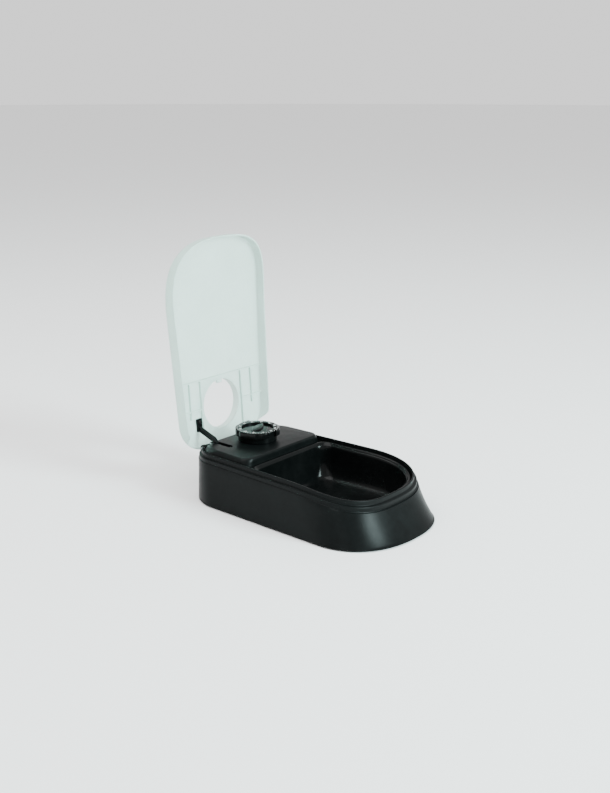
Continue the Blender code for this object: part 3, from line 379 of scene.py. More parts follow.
def plastic(name, dark, light, roughness, smudge, grain_scale, grain_depth, coat=0.0, clear=0.0,
            shine=0.5):
    mat = bpy.data.materials.new(name)
    mat.use_nodes = True
    nodes, links = mat.node_tree.nodes, mat.node_tree.links
    surface = nodes["Principled BSDF"]
    skin_marks = nodes.new("ShaderNodeGroup")
    skin_marks.node_tree = moulded_grain
    skin_marks.inputs["Grain Scale"].default_value = grain_scale
    skin_marks.inputs["Roughness"].default_value = roughness
    skin_marks.inputs["Smudge"].default_value = smudge
    tone = nodes.new("ShaderNodeValToRGB")
    tone.color_ramp.elements[0].position = 0.12
    tone.color_ramp.elements[0].color = (*dark, 1.0)
    tone.color_ramp.elements[1].position = 0.42
    tone.color_ramp.elements[1].color = (*light, 1.0)
    links.new(skin_marks.outputs["Shade"], tone.inputs["Fac"])
    links.new(tone.outputs["Color"], surface.inputs["Base Color"])
    links.new(skin_marks.outputs["Roughness"], surface.inputs["Roughness"])
    bump = nodes.new("ShaderNodeBump")
    bump.inputs["Strength"].default_value = 1.25
    bump.inputs["Distance"].default_value = grain_depth
    links.new(skin_marks.outputs["Height"], bump.inputs["Height"])
    links.new(bump.outputs["Normal"], surface.inputs["Normal"])
    surface.inputs["IOR"].default_value = 1.5
    surface.inputs["Specular IOR Level"].default_value = shine
    surface.inputs["Coat Weight"].default_value = coat
    surface.inputs["Transmission Weight"].default_value = clear
    return mat


satin_black = plastic("satin_black_moulding", (0.0018, 0.0024, 0.0024), (0.003, 0.004, 0.004),
                      0.34, 0.05, 2600.0, 0.00002, shine=0.07)
base.data.materials.append(satin_black)
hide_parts("base_shell")
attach(base, "base")

# ---------------------------------------------------------------- rubber feet
# Four soft black rubber buttons, pressed into the floor near its corners. Each is a low
# turned disc with a rounded tread edge and a shallow dimple where the mould was fed.


def turned_piece(profile, sides=48):
    # profile holds (radius, height) pairs from the lower end to the upper
    solid = bmesh.new()
    rings = [[Vector((radius * math.cos(2 * math.pi * k / sides),
                      radius * math.sin(2 * math.pi * k / sides), z)) for k in range(sides)]
             for radius, z in profile]
    skin(solid, rings, cap_first=True, cap_last=True)
    return solid


def pairs_group():
    # sets the given piece down at four places, two in front and two behind
    tree = bpy.data.node_groups.new("four_of_a_kind", "GeometryNodeTree")
    tree.interface.new_socket("Geometry", in_out="INPUT", socket_type="NodeSocketGeometry")
    for label in ("Front Half Width", "Rear Half Width", "Front Y", "Rear Y"):
        tree.interface.new_socket(label, in_out="INPUT", socket_type="NodeSocketFloat")
    tree.interface.new_socket("Material", in_out="INPUT", socket_type="NodeSocketMaterial")
    tree.interface.new_socket("Geometry", in_out="OUTPUT", socket_type="NodeSocketGeometry")
    nodes, links = tree.nodes, tree.links
    given = nodes.new("NodeGroupInput")
    out = nodes.new("NodeGroupOutput")
    grid = nodes.new("GeometryNodeMeshGrid")
    for label, value in (("Size X", 2.0), ("Size Y", 2.0), ("Vertices X", 2), ("Vertices Y", 2)):
        grid.inputs[label].default_value = value
    where = nodes.new("GeometryNodeInputPosition")
    parts = nodes.new("ShaderNodeSeparateXYZ")
    links.new(where.outputs["Position"], parts.inputs["Vector"])
    behind = nodes.new("FunctionNodeCompare")
    behind.data_type = "FLOAT"
    behind.operation = "GREATER_THAN"
    links.new(parts.outputs["Y"], behind.inputs["A"])
    picks = []
    for front_label, rear_label in (("Front Half Width", "Rear Half Width"),
                                    ("Front Y", "Rear Y")):
        pick = nodes.new("GeometryNodeSwitch")
        pick.input_type = "FLOAT"
        links.new(behind.outputs["Result"], pick.inputs["Switch"])
        links.new(given.outputs[front_label], pick.inputs["False"])
        links.new(given.outputs[rear_label], pick.inputs["True"])
        picks.append(pick)
    sideways = nodes.new("ShaderNodeMath")
    sideways.operation = "MULTIPLY"
    links.new(parts.outputs["X"], sideways.inputs[0])
    links.new(picks[0].outputs["Output"], sideways.inputs[1])
    spot = nodes.new("ShaderNodeCombineXYZ")
    links.new(sideways.outputs["Value"], spot.inputs["X"])
    links.new(picks[1].outputs["Output"], spot.inputs["Y"])
    moved = nodes.new("GeometryNodeSetPosition")
    links.new(grid.outputs["Mesh"], moved.inputs["Geometry"])
    links.new(spot.outputs["Vector"], moved.inputs["Position"])
    placed = nodes.new("GeometryNodeInstanceOnPoints")
    links.new(moved.outputs["Geometry"], placed.inputs["Points"])
    links.new(given.outputs["Geometry"], placed.inputs["Instance"])
    real = nodes.new("GeometryNodeRealizeInstances")
    links.new(placed.outputs["Instances"], real.inputs["Geometry"])
    coated = nodes.new("GeometryNodeSetMaterial")
    links.new(real.outputs["Geometry"], coated.inputs["Geometry"])
    links.new(given.outputs["Material"], coated.inputs["Material"])
    links.new(coated.outputs["Geometry"], out.inputs["Geometry"])
    return tree


def grown(obj, tree, values):
    # runs a tree on the object with its named inputs set, and keeps the plain mesh
    change = obj.modifiers.new("grown", "NODES")
    change.node_group = tree
    for item in tree.interface.items_tree:
        if item.in_out == "INPUT" and item.name in values:
            change[item.identifier] = values[item.name]
    bpy.context.view_layer.update()
    done = bpy.data.meshes.new_from_object(
        obj.evaluated_get(bpy.context.evaluated_depsgraph_get()))
    obj.modifiers.clear()
    obj.data = done
    return obj


four_of_a_kind = pairs_group()
rubber = plastic("black_rubber", (0.016, 0.016, 0.016), (0.03, 0.03, 0.03), 0.78, 0.08, 900.0,
                 0.00004)


def single(name, solid, sharp=32.0):
    # a piece made about its own axis, before it is set down in its places
    for vert in solid.verts:
        vert.co -= CENTRED
    return finish_mesh(name, solid, sharp)


profile = [(1.2, 0.35)] + rounded_edge((4.8, 0.0), (6.0, 0.9), (6.0, 0.0), 6)
profile = [(1.0, 0.3), (1.6, 0.05)] + profile[1:] + [(6.0, 2.2)]
feet = single("rubber_feet", turned_piece(profile))
grown(feet, four_of_a_kind, {"Front Half Width": 0.050, "Rear Half Width": 0.052,
                             "Front Y": -0.0791, "Rear Y": 0.0749, "Material": rubber})
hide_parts("foot_1", "foot_2", "foot_3", "foot_4")
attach(feet, "base")

# ---------------------------------------------------------------- cover screws
# Four zinc-plated pan-head screws go up through the floor into the posts of the timer cover.
# Each head is domed and has a cross recess; the head sits just under the floor.


def metal(name, dark, light, roughness, stretch):
    mat = bpy.data.materials.new(name)
    mat.use_nodes = True
    nodes, links = mat.node_tree.nodes, mat.node_tree.links
    surface = nodes["Principled BSDF"]
    surface.inputs["Metallic"].default_value = 1.0
    place = nodes.new("ShaderNodeTexCoord")
    along = nodes.new("ShaderNodeMapping")
    along.inputs["Scale"].default_value = stretch
    links.new(place.outputs["Object"], along.inputs["Vector"])
    brushed = nodes.new("ShaderNodeTexNoise")
    brushed.inputs["Scale"].default_value = 400.0
    brushed.inputs["Detail"].default_value = 4.0
    links.new(along.outputs["Vector"], brushed.inputs["Vector"])
    tone = nodes.new("ShaderNodeValToRGB")
    tone.color_ramp.elements[0].position = 0.3
    tone.color_ramp.elements[0].color = (*dark, 1.0)
    tone.color_ramp.elements[1].position = 0.7
    tone.color_ramp.elements[1].color = (*light, 1.0)
    links.new(brushed.outputs["Fac"], tone.inputs["Fac"])
    links.new(tone.outputs["Color"], surface.inputs["Base Color"])
    spread = nodes.new("ShaderNodeMapRange")
    spread.inputs["To Min"].default_value = roughness - 0.08
    spread.inputs["To Max"].default_value = roughness + 0.1
    links.new(brushed.outputs["Fac"], spread.inputs["Value"])
    links.new(spread.outputs["Result"], surface.inputs["Roughness"])
    bump = nodes.new("ShaderNodeBump")
    bump.inputs["Distance"].default_value = 0.00001
    links.new(brushed.outputs["Fac"], bump.inputs["Height"])
    links.new(bump.outputs["Normal"], surface.inputs["Normal"])
    return mat


zinc = metal("zinc_plate", (0.52, 0.53, 0.55), (0.68, 0.69, 0.70), 0.3, (1.0, 1.0, 1.0))
profile = [(1.8, 0.5)] + rounded_edge((1.9, 0.5), (3.0, 1.3), (3.0, 0.5), 5)
profile += [(3.0, 2.2), (1.3, 2.2)]
for k in range(10):
    profile += [(1.3, 3.0 + 1.2 * k), (1.05, 3.3 + 1.2 * k), (1.05, 3.6 + 1.2 * k)]
profile += [(1.3, 15.2), (0.6, 16.6)]
screws = single("cover_screws", turned_piece(profile, 32))
steps = []
for low, high in (((-1.7, -0.35, 0.2), (1.7, 0.35, 1.3)), ((-0.35, -1.7, 0.2), (0.35, 1.7, 1.3))):
    recess = block(low, high)
    for vert in recess.verts:
        vert.co -= CENTRED
    steps.append(("DIFFERENCE", recess))
shaped(screws, steps)
grown(screws, four_of_a_kind, {"Front Half Width": 0.049, "Rear Half Width": 0.046,
                               "Front Y": 0.0429, "Rear Y": 0.0839, "Material": zinc})
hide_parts("cover_screw_1", "cover_screw_2", "cover_screw_3", "cover_screw_4")
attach(screws, "base")

# ---------------------------------------------------------------- bowl
# The lift-out bowl is a thin black tray, polished inside so that food slides off it. A flange
# round its mouth rests on the base's inner shelf and rolls over into the sloping wall.


def bowl_ring(inset, back, radius, front_in, height):
    half = []
    width = rim_half(inset)
    rear_y = 39.9 - back
    side_top = rear_y - radius
    inner = width(side_top) - radius
    for k in range(10):
        half.append((inner * k / 10, rear_y))
    for k in range(14):
        t = math.pi / 2 * k / 14
        half.append((inner + radius * math.sin(t), side_top + radius * math.cos(t)))
    for k in range(14):
        y = side_top + (FRONT_START_Y - side_top) * k / 14
        half.append((width(y), y))
    for k in range(35):
        t = math.pi / 2 * k / 34
        y = FRONT_START_Y + (RIM_FRONT_Y + front_in - FRONT_START_Y) * math.sin(t) ** (2 / RIM_POWER)
        half.append((width(FRONT_START_Y) * max(0.0, math.cos(t)) ** (2 / RIM_POWER), y))
    half[-1] = (0.0, RIM_FRONT_Y + front_in)
    loop = half + [(-x, y) for x, y in reversed(half[1:-1])]
    return at_height(loop, height)


def smooth_path(points, per=6):
    # a Catmull-Rom curve through the points, each a tuple of numbers
    out = []
    for i in range(len(points) - 1):
        a = points[max(0, i - 1)]
        b, c = points[i], points[i + 1]
        d = points[min(len(points) - 1, i + 2)]
        for k in range(per):
            t = k / per
            out.append(tuple(
                0.5 * (2 * q + (r - p) * t + (2 * p - 5 * q + 4 * r - s) * t * t
                       + (3 * q - p - 3 * r + s) * t ** 3) for p, q, r, s in zip(a, b, c, d)))
    return out + [points[-1]]


# each point: inset at the sides, setback at the rear, corner radius, setback at the front,
# height, and how much of the rim's forward dip it follows
outside = [(23.2, 17.4, 14.0, 23.2, 8.0, 0.0), (17.2, 11.9, 15.0, 17.2, 9.4, 0.06),
           (13.0, 7.9, 15.0, 13.4, 14.0, 0.2), (10.4, 5.3, 14.0, 10.6, 26.0, 0.5),
           (8.8, 3.5, 13.0, 9.0, 43.4, 1.0), (7.6, 2.5, 12.0, 7.8, 45.3, 1.0)]
rim = [(5.9, 0.2, 10.0, 6.0, 45.3, 1.0), (5.6, 0.0, 10.0, 5.7, 45.6, 1.0),
       (5.6, 0.0, 10.0, 5.7, 46.4, 1.0), (5.75, 0.15, 10.0, 5.85, 46.8, 1.0),
       (6.1, 0.5, 10.0, 6.2, 47.0, 1.0), (6.7, 1.4, 10.4, 6.7, 47.15, 1.0)]
inside = [(7.4, 2.3, 11.0, 7.4, 47.2, 1.0), (8.2, 3.1, 11.4, 8.2, 46.8, 1.0),
          (9.2, 4.3, 12.0, 9.4, 45.4, 1.0), (10.6, 5.3, 12.6, 10.8, 42.4, 0.96),
          (12.2, 7.1, 12.4, 12.4, 26.6, 0.5), (14.8, 9.7, 13.4, 15.2, 15.0, 0.2),
          (18.6, 13.5, 13.4, 18.8, 11.0, 0.06), (24.2, 18.5, 13.0, 24.4, 9.8, 0.0)]
solid = bmesh.new()
skin(solid, [bowl_ring(*p[:4], dipped(p[4], p[5]))
             for p in smooth_path(outside, 4) + rim + smooth_path(inside, 6)],
     cap_first=True, cap_last=True)
bowl = finish_mesh("bowl_tray_polished", solid, 40.0)
polished_black = plastic("polished_black_bowl", (0.0016, 0.002, 0.002), (0.003, 0.0035, 0.0035),
                         0.20, 0.05, 1500.0, 0.000004, coat=0.03, shine=0.08)
bowl.data.materials.append(polished_black)
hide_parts("bowl_tray")
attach(bowl, "bowl")

# ---------------------------------------------------------------- timer cover
# The raised platform round the dial is a second satin black moulding, held from below by
# its four posts. Two open slots let the lid's arms swing, and its back is cut away for them.


def cover_plan(inset, rear_y, rear_r, front_y, front_r):
    width = rim_half(inset)
    half = []
    side_top = rear_y - rear_r
    inner = width(side_top) - rear_r
    for k in range(6):
        half.append((inner * k / 6, rear_y))
    for k in range(14):
        t = math.pi / 2 * k / 14
        half.append((inner + rear_r * math.sin(t), side_top + rear_r * math.cos(t)))
    low = front_y + front_r
    for k in range(8):
        y = side_top + (low - side_top) * k / 8
        half.append((width(y), y))
    centre = width(low) - front_r
    for k in range(12):
        t = math.pi / 2 * k / 12
        half.append((centre + front_r * math.cos(t), low - front_r * math.sin(t)))
    for k in range(6):
        half.append((centre * (1 - k / 5), front_y))
    half[-1] = (0.0, front_y)
    return half + [(-x, y) for x, y in reversed(half[1:-1])]


PLATFORM_Z, FRONT_Y = 54.5, 40.6
outside = [(5.4, 114.4, 27.0, FRONT_Y - 0.2, 10.0, 45.3), (5.5, 114.2, 27.0, FRONT_Y - 0.2, 10.0, 46.6),
           (5.9, 113.4, 27.0, FRONT_Y, 10.0, 48.6), (6.7, 111.4, 27.0, FRONT_Y + 0.1, 10.0, 50.8),
           (7.8, 108.8, 27.0, FRONT_Y + 0.3, 10.0, 52.6), (8.6, 107.0, 27.0, FRONT_Y + 0.6, 10.0, 53.6),
           (9.4, 106.0, 27.0, FRONT_Y + 1.2, 9.6, 54.25), (10.6, 104.8, 27.0, FRONT_Y + 2.3, 9.0, 54.5)]
inside = [(11.0, 105.0, 27.0, FRONT_Y + 2.6, 8.0, 52.5), (10.4, 106.5, 27.0, FRONT_Y + 2.2, 8.5, 50.0),
          (7.4, 112.2, 27.0, FRONT_Y + 1.9, 9.0, 45.3)]
solid = bmesh.new()
skin(solid, [at_height(cover_plan(*p[:5]), p[5]) for p in inside + smooth_path(outside, 3)],
     cap_first=True, cap_last=True)
cover = finish_mesh("timer_cover_moulding", solid)
steps = []
for x, y in SCREWS:
    steps.append(("UNION", rod((x, y, 0), 3.4, 5.4, 53.4)))
    steps.append(("DIFFERENCE", rod((x, y, 0), 1.5, 4.0, 18.0)))
steps.append(("DIFFERENCE", block((-43.6, 109.6, 40.0), (43.6, 120.0, 60.0))))
for side in (-1, 1):
    slot = rod((side * ARM_X, 83.0, 0), 3.0, 40.0, 60.0)
    steps.append(("DIFFERENCE", slot))
    low, high = sorted((side * (ARM_X - 3.0), side * (ARM_X + 3.0)))
    steps.append(("DIFFERENCE", block((low, 83.0, 40.0), (high, 121.0, 60.0))))
steps.append(("DIFFERENCE", rod((0, 77.5, 0), 4.8, 50.0, 58.0, 40)))
shaped(cover, steps)
cover.data.materials.append(satin_black)
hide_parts("timer_cover")
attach(cover, "base")

# ---------------------------------------------------------------- dial
# The timer's dial is a glossy black moulding on a narrower neck. Twelve soft scallops give
# the fingers a grip, and a notch in its edge lets the lid's latch nub go at meal time.
DIAL_Y, DIAL_R, NECK_R, DIAL_TOP, RING_LOW = 77.5, 23.0, 19.7, 67.3, 60.9
SIDES = 288


def grip_ring(radius, z, grip=0.0):
    loop = []
    for k in range(SIDES):
        t = 2 * math.pi * k / SIDES
        r = radius - grip * (0.5 - 0.5 * math.cos(12 * t)) ** 2
        loop.append(Vector((r * math.cos(t), DIAL_Y + r * math.sin(t), z)))
    return loop


rings = [grip_ring(4.3, 62.4), grip_ring(4.3, 54.9), grip_ring(NECK_R - 0.5, 54.9)]
rings += [grip_ring(r, z) for r, z in rounded_edge((NECK_R - 0.4, 54.9), (NECK_R, 55.3),
                                                   (NECK_R, 54.9), 3)]
rings += [grip_ring(r, z) for r, z in rounded_edge((NECK_R, RING_LOW - 0.5),
                                                   (NECK_R + 0.5, RING_LOW),
                                                   (NECK_R, RING_LOW), 3)]
for r, z, grip in rounded_edge((DIAL_R - 0.7, RING_LOW, 0.4), (DIAL_R, RING_LOW + 0.7, 0.9),
                               (DIAL_R, RING_LOW, 0.9), 5):
    rings.append(grip_ring(r, z, grip))
for r, z, grip in rounded_edge((DIAL_R - 0.15, DIAL_TOP - 1.3, 0.9), (DIAL_R - 1.3, DIAL_TOP, 0.2),
                               (DIAL_R - 0.2, DIAL_TOP, 0.8), 7):
    rings.append(grip_ring(r, z, grip))
rings += [grip_ring(r, z) for r, z in rounded_edge((16.6, DIAL_TOP), (16.0, DIAL_TOP - 0.6),
                                                   (16.0, DIAL_TOP), 4)]
rings.append(grip_ring(15.8, DIAL_TOP - 3.2))
solid = bmesh.new()
skin(solid, rings, cap_first=True, cap_last=True)
dial = finish_mesh("dial_ring_moulding", solid)
shaped(dial, [("DIFFERENCE", block((-4.6, 50.0, 50.0), (4.6, 58.4, 72.0)))])
gloss_black = plastic("gloss_black_dial", (0.0016, 0.002, 0.002), (0.003, 0.0035, 0.0035),
                      0.16, 0.05, 1800.0, 0.000004, coat=0.05, shine=0.08)
dial.data.materials.append(gloss_black)
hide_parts("dial_ring")
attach(dial, "dial")

# ---------------------------------------------------------------- dial marks
# Hour marks are pad-printed in white ink on the flat top of the dial: a short bar for every
# hour and a plain number at every fourth, a few hundredths of a millimetre thick.


def marks_group():
    tree = bpy.data.node_groups.new("hour_bars", "GeometryNodeTree")
    tree.interface.new_socket("Geometry", in_out="INPUT", socket_type="NodeSocketGeometry")
    tree.interface.new_socket("Count", in_out="INPUT", socket_type="NodeSocketInt")
    for label in ("Radius", "Length", "Width", "Thickness", "Height"):
        tree.interface.new_socket(label, in_out="INPUT", socket_type="NodeSocketFloat")
    tree.interface.new_socket("Material", in_out="INPUT", socket_type="NodeSocketMaterial")
    tree.interface.new_socket("Geometry", in_out="OUTPUT", socket_type="NodeSocketGeometry")
    nodes, links = tree.nodes, tree.links
    given = nodes.new("NodeGroupInput")
    out = nodes.new("NodeGroupOutput")
    circle = nodes.new("GeometryNodeMeshCircle")
    links.new(given.outputs["Count"], circle.inputs["Vertices"])
    links.new(given.outputs["Radius"], circle.inputs["Radius"])
    size = nodes.new("ShaderNodeCombineXYZ")
    links.new(given.outputs["Length"], size.inputs["X"])
    links.new(given.outputs["Width"], size.inputs["Y"])
    links.new(given.outputs["Thickness"], size.inputs["Z"])
    bar = nodes.new("GeometryNodeMeshCube")
    links.new(size.outputs["Vector"], bar.inputs["Size"])
    index = nodes.new("GeometryNodeInputIndex")
    share = nodes.new("ShaderNodeMath")
    share.operation = "DIVIDE"
    links.new(index.outputs["Index"], share.inputs[0])
    links.new(given.outputs["Count"], share.inputs[1])
    angle = nodes.new("ShaderNodeMath")
    angle.operation = "MULTIPLY"
    angle.inputs[1].default_value = 2 * math.pi
    links.new(share.outputs["Value"], angle.inputs[0])
    spin = nodes.new("ShaderNodeCombineXYZ")
    links.new(angle.outputs["Value"], spin.inputs["Z"])
    placed = nodes.new("GeometryNodeInstanceOnPoints")
    links.new(circle.outputs["Mesh"], placed.inputs["Points"])
    links.new(bar.outputs["Mesh"], placed.inputs["Instance"])
    links.new(spin.outputs["Vector"], placed.inputs["Rotation"])
    real = nodes.new("GeometryNodeRealizeInstances")
    links.new(placed.outputs["Instances"], real.inputs["Geometry"])
    lift = nodes.new("ShaderNodeCombineXYZ")
    links.new(given.outputs["Height"], lift.inputs["Z"])
    lifted = nodes.new("GeometryNodeTransform")
    links.new(real.outputs["Geometry"], lifted.inputs["Geometry"])
    links.new(lift.outputs["Vector"], lifted.inputs["Translation"])
    coated = nodes.new("GeometryNodeSetMaterial")
    links.new(lifted.outputs["Geometry"], coated.inputs["Geometry"])
    links.new(given.outputs["Material"], coated.inputs["Material"])
    links.new(coated.outputs["Geometry"], out.inputs["Geometry"])
    return tree


white_ink = plastic("white_ink", (0.72, 0.72, 0.70), (0.82, 0.82, 0.80), 0.5, 0.06, 3000.0,
                    0.000004)
bars = bpy.data.objects.new("dial_hour_bars", bpy.data.meshes.new("dial_hour_bars"))
bpy.context.scene.collection.objects.link(bars)
grown(bars, marks_group(), {"Count": 48, "Radius": 0.0208, "Length": 0.0013, "Width": 0.00028,
                            "Thickness": 0.00004, "Height": DIAL_TOP * MM + 0.00002,
                            "Material": white_ink})
bars.data.transform(Matrix.Translation((0, (DIAL_Y - 9.1) * MM, 0)))
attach(bars, "dial")

numbers = bmesh.new()
for k in range(12):
    text = bpy.data.curves.new("number", "FONT")
    text.body = str(4 * k)
    text.size = 0.0034
    text.align_x = "CENTER"
    text.align_y = "CENTER"
    text.extrude = 0.00002
    letter = bpy.data.objects.new("number", text)
    bpy.context.scene.collection.objects.link(letter)
    bpy.context.view_layer.update()
    flat = bpy.data.meshes.new_from_object(
        letter.evaluated_get(bpy.context.evaluated_depsgraph_get()))
    angle = math.radians(-90 - 30 * k)
    spot = Matrix.Translation((0.0184 * math.cos(angle), (DIAL_Y - 9.1) * MM
                               + 0.0184 * math.sin(angle), DIAL_TOP * MM + 0.00002))
    flat.transform(spot @ Matrix.Rotation(angle + math.pi / 2, 4, "Z"))
    numbers.from_mesh(flat)
    bpy.data.objects.remove(letter, do_unlink=True)
    bpy.data.meshes.remove(flat)
mesh = bpy.data.meshes.new("dial_numbers")
numbers.to_mesh(mesh)
numbers.free()
mesh.materials.append(white_ink)
printed = bpy.data.objects.new("dial_numbers", mesh)
bpy.context.scene.collection.objects.link(printed)
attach(printed, "dial")

# ---------------------------------------------------------------- dial cap
# A recessed gloss disc closes the middle of the dial. A leaf-shaped bar stands up from it
# for finger and thumb, with rounded flanks so that it can be gripped from above.
low = DIAL_TOP - 2.9
solid = bmesh.new()
rings = []
for radius, z in rounded_edge((15.1, low), (15.5, low + 0.4), (15.5, low), 3) \
        + rounded_edge((15.5, low + 0.8), (15.1, low + 1.1), (15.5, low + 1.1), 4):
    rings.append([Vector((radius * math.cos(2 * math.pi * k / 96),
                          DIAL_Y + radius * math.sin(2 * math.pi * k / 96), z))
                  for k in range(96)])
skin(solid, rings, cap_first=True, cap_last=True)
cap = finish_mesh("dial_cap_disc", solid)
leaf = bmesh.new()
rings = []
for grow, z in [(1.0, low + 0.5)] + rounded_edge((1.0, low + 1.9), (0.86, low + 2.8),
                                                 (0.98, low + 2.75), 6):
    loop = []
    for side in (1, -1):
        for k in range(28):
            t = k / 28
            along = 14.4 * math.cos(math.pi * t) * side
            across = 4.8 * math.sin(math.pi * (0.5 - 0.5 * math.cos(math.pi * t))) ** 0.8 * side
            spot = Vector((along * (1 - (1 - grow) * 0.35), across * grow, 0.0))
            spot.rotate(Matrix.Rotation(math.radians(20), 3, "Z"))
            loop.append(Vector((spot.x, DIAL_Y + spot.y, z)))
    rings.append(loop)
skin(leaf, rings, cap_first=True, cap_last=True)
shaped(cap, [("UNION", leaf)])
cap.data.materials.append(gloss_black)
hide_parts("dial_cap")
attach(cap, "dial")

# ---------------------------------------------------------------- lid
# The lid is a thin milky polypropylene moulding. A round collar lets the dial through, ribs
# on the inside stiffen the hinge end, and a nub in the hole is what the dial's rim holds.
HOLE_R, LID_T, COLLAR, LID_REAR_V = 25.7, 1.8, 7.9, -41.5
RIVET_AT = {"left": (-35.0, -12.0), "right": (29.0, -31.0)}
closed_tilt, open_angle = math.radians(0.8), math.radians(95.1)
c, s = math.cos(closed_tilt), math.sin(closed_tilt)
shut = Matrix(((1, 0, 0, 0), (0, -c, s, DIAL_Y), (0, -s, -c, 57.6), (0, 0, 0, 1)))
lid_place = (Matrix.Translation(PIVOT) @ Matrix.Rotation(-open_angle, 4, "X")
             @ Matrix.Translation(-PIVOT) @ shut)


def lid_plan(inset):
    half = []
    wide = lambda v: RIM_HALF - RIM_TAPER * (DIAL_Y - v) - 0.7 - inset
    rear_r = 31.0 - inset
    rear = LID_REAR_V + inset
    side = rear + rear_r
    inner = wide(side) - rear_r
    front_v = DIAL_Y - RIM_FRONT_Y - 0.7 - inset
    v0 = DIAL_Y - FRONT_START_Y
    for k in range(8):
        half.append((inner * k / 8, rear))
    for k in range(14):
        t = math.pi / 2 * k / 14
        half.append((inner + rear_r * math.sin(t), side - rear_r * math.cos(t)))
    for k in range(24):
        v = side + (v0 - side) * k / 24
        half.append((wide(v), v))
    for k in range(35):
        t = math.pi / 2 * k / 34
        v = v0 + (front_v - v0) * math.sin(t) ** (2 / RIM_POWER)
        half.append((wide(v0) * max(0.0, math.cos(t)) ** (2 / RIM_POWER), v))
    half[-1] = (0.0, front_v)
    return half + [(-u, v) for u, v in reversed(half[1:-1])]


def skirt_depth(v):
    full = 11.1 - 0.014 * v
    return 0.9 + (full - 0.9) * min(1.0, max(0.0, (v + 30.0) / 8.0))


outline = lid_plan(0.0)


def round_the_hole(radius):
    loop = []
    for u, v in outline:
        reach = math.hypot(u, v)
        loop.append((u / reach * radius, v / reach * radius))
    return loop


def lid_ring(loop, n, skirt=0.0):
    return [Vector((u, v, n + RIM_DIP * max(0.0, v - 97.5) ** 2 + skirt * skirt_depth(v)))
            for u, v in loop]


rings = []
for r, n in rounded_edge((HOLE_R, 0.0), (HOLE_R, 0.0), (HOLE_R, 0.0), 1)[:1]:
    rings.append(lid_ring(round_the_hole(r), n))
for r, n in rounded_edge((HOLE_R, 0.5 - COLLAR), (HOLE_R + 0.5, -COLLAR), (HOLE_R, -COLLAR), 4):
    rings.append(lid_ring(round_the_hole(r), n))
for r, n in rounded_edge((HOLE_R + 1.7, -COLLAR), (HOLE_R + 2.2, 0.5 - COLLAR),
                         (HOLE_R + 2.2, -COLLAR), 4):
    rings.append(lid_ring(round_the_hole(r), n))
for r, n in rounded_edge((HOLE_R + 2.2, -LID_T - 0.8), (HOLE_R + 3.0, -LID_T),
                         (HOLE_R + 2.2, -LID_T), 4):
    rings.append(lid_ring(round_the_hole(r), n))
collar_foot, shoulder = round_the_hole(HOLE_R + 3.0), lid_plan(1.5)
for share in (0.12, 0.25, 0.4, 0.55, 0.7, 0.85):
    rings.append(lid_ring(between(collar_foot, shoulder, share), -LID_T))
for inset, n in rounded_edge((1.5, -LID_T), (0.0, -0.3), (0.05, -LID_T), 6):
    rings.append(lid_ring(lid_plan(inset), n))
rings.append(lid_ring(lid_plan(0.0), 0.0, 0.5))
for inset, part in rounded_edge((0.0, 0.96), (0.4, 1.0), (0.0, 1.0), 3):
    rings.append(lid_ring(lid_plan(inset), 0.0, part))
for inset, part in rounded_edge((1.2, 1.0), (1.6, 0.96), (1.6, 1.0), 3):
    rings.append(lid_ring(lid_plan(inset), 0.0, part))
rings.append(lid_ring(lid_plan(1.6), 0.0, 0.5))
for inset, n in rounded_edge((1.6, 0.5), (2.2, 0.0), (1.6, 0.0), 3):
    rings.append(lid_ring(lid_plan(inset), n))
for share in (0.85, 0.7, 0.55, 0.4, 0.25, 0.12):
    rings.append(lid_ring(between(round_the_hole(HOLE_R), lid_plan(2.2), share), 0.0))


def in_lid(solid):
    bmesh.ops.transform(solid, matrix=lid_place, verts=solid.verts)
    return solid


solid = bmesh.new()
skin(solid, rings, closed=True)
lid = finish_mesh("lid_moulding", in_lid(solid), 40.0)
steps = [("UNION", in_lid(block((-61.0, 29.4, -0.6), (61.0, 30.6, 2.2), 0.2)))]
for side in (-1, 1):
    for u, start in ((29.5, -27.0), (45.0, -8.0)):
        near, far = sorted((side * (u - 0.6), side * (u + 0.6)))
        steps.append(("UNION", in_lid(block((near, start, -0.6), (far, 30.0, 2.2), 0.2))))
    near, far = sorted((side * 29.0, side * 60.5))
    steps.append(("UNION", in_lid(block((near, -0.6, -0.6), (far, 0.6, 2.0), 0.2))))
steps.append(("UNION", in_lid(block((-3.4, 22.0, -2.9), (3.4, 27.0, -0.3), 0.3))))
for u, v in ((-18.0, 42.0), (18.0, 42.0), (-40.0, 60.0), (40.0, 60.0), (0.0, 74.0),
             (-30.0, 120.0), (30.0, 120.0)):
    steps.append(("UNION", in_lid(rod((u, v, 0), 2.6, -0.5, 0.18 + RIM_DIP * max(0, v - 97.5) ** 2))))
for u, v in RIVET_AT.values():
    steps.append(("DIFFERENCE", in_lid(rod((u, v, 0), 1.4, -4.0, 2.0))))
shaped(lid, steps, 40.0)
milky = plastic("milky_polypropylene", (0.69, 0.86, 0.80), (0.76, 0.92, 0.865), 0.42, 0.05,
                1200.0, 0.00001, clear=0.6)
lid.data.materials.append(milky)
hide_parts("lid")
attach(lid, "lid_body")

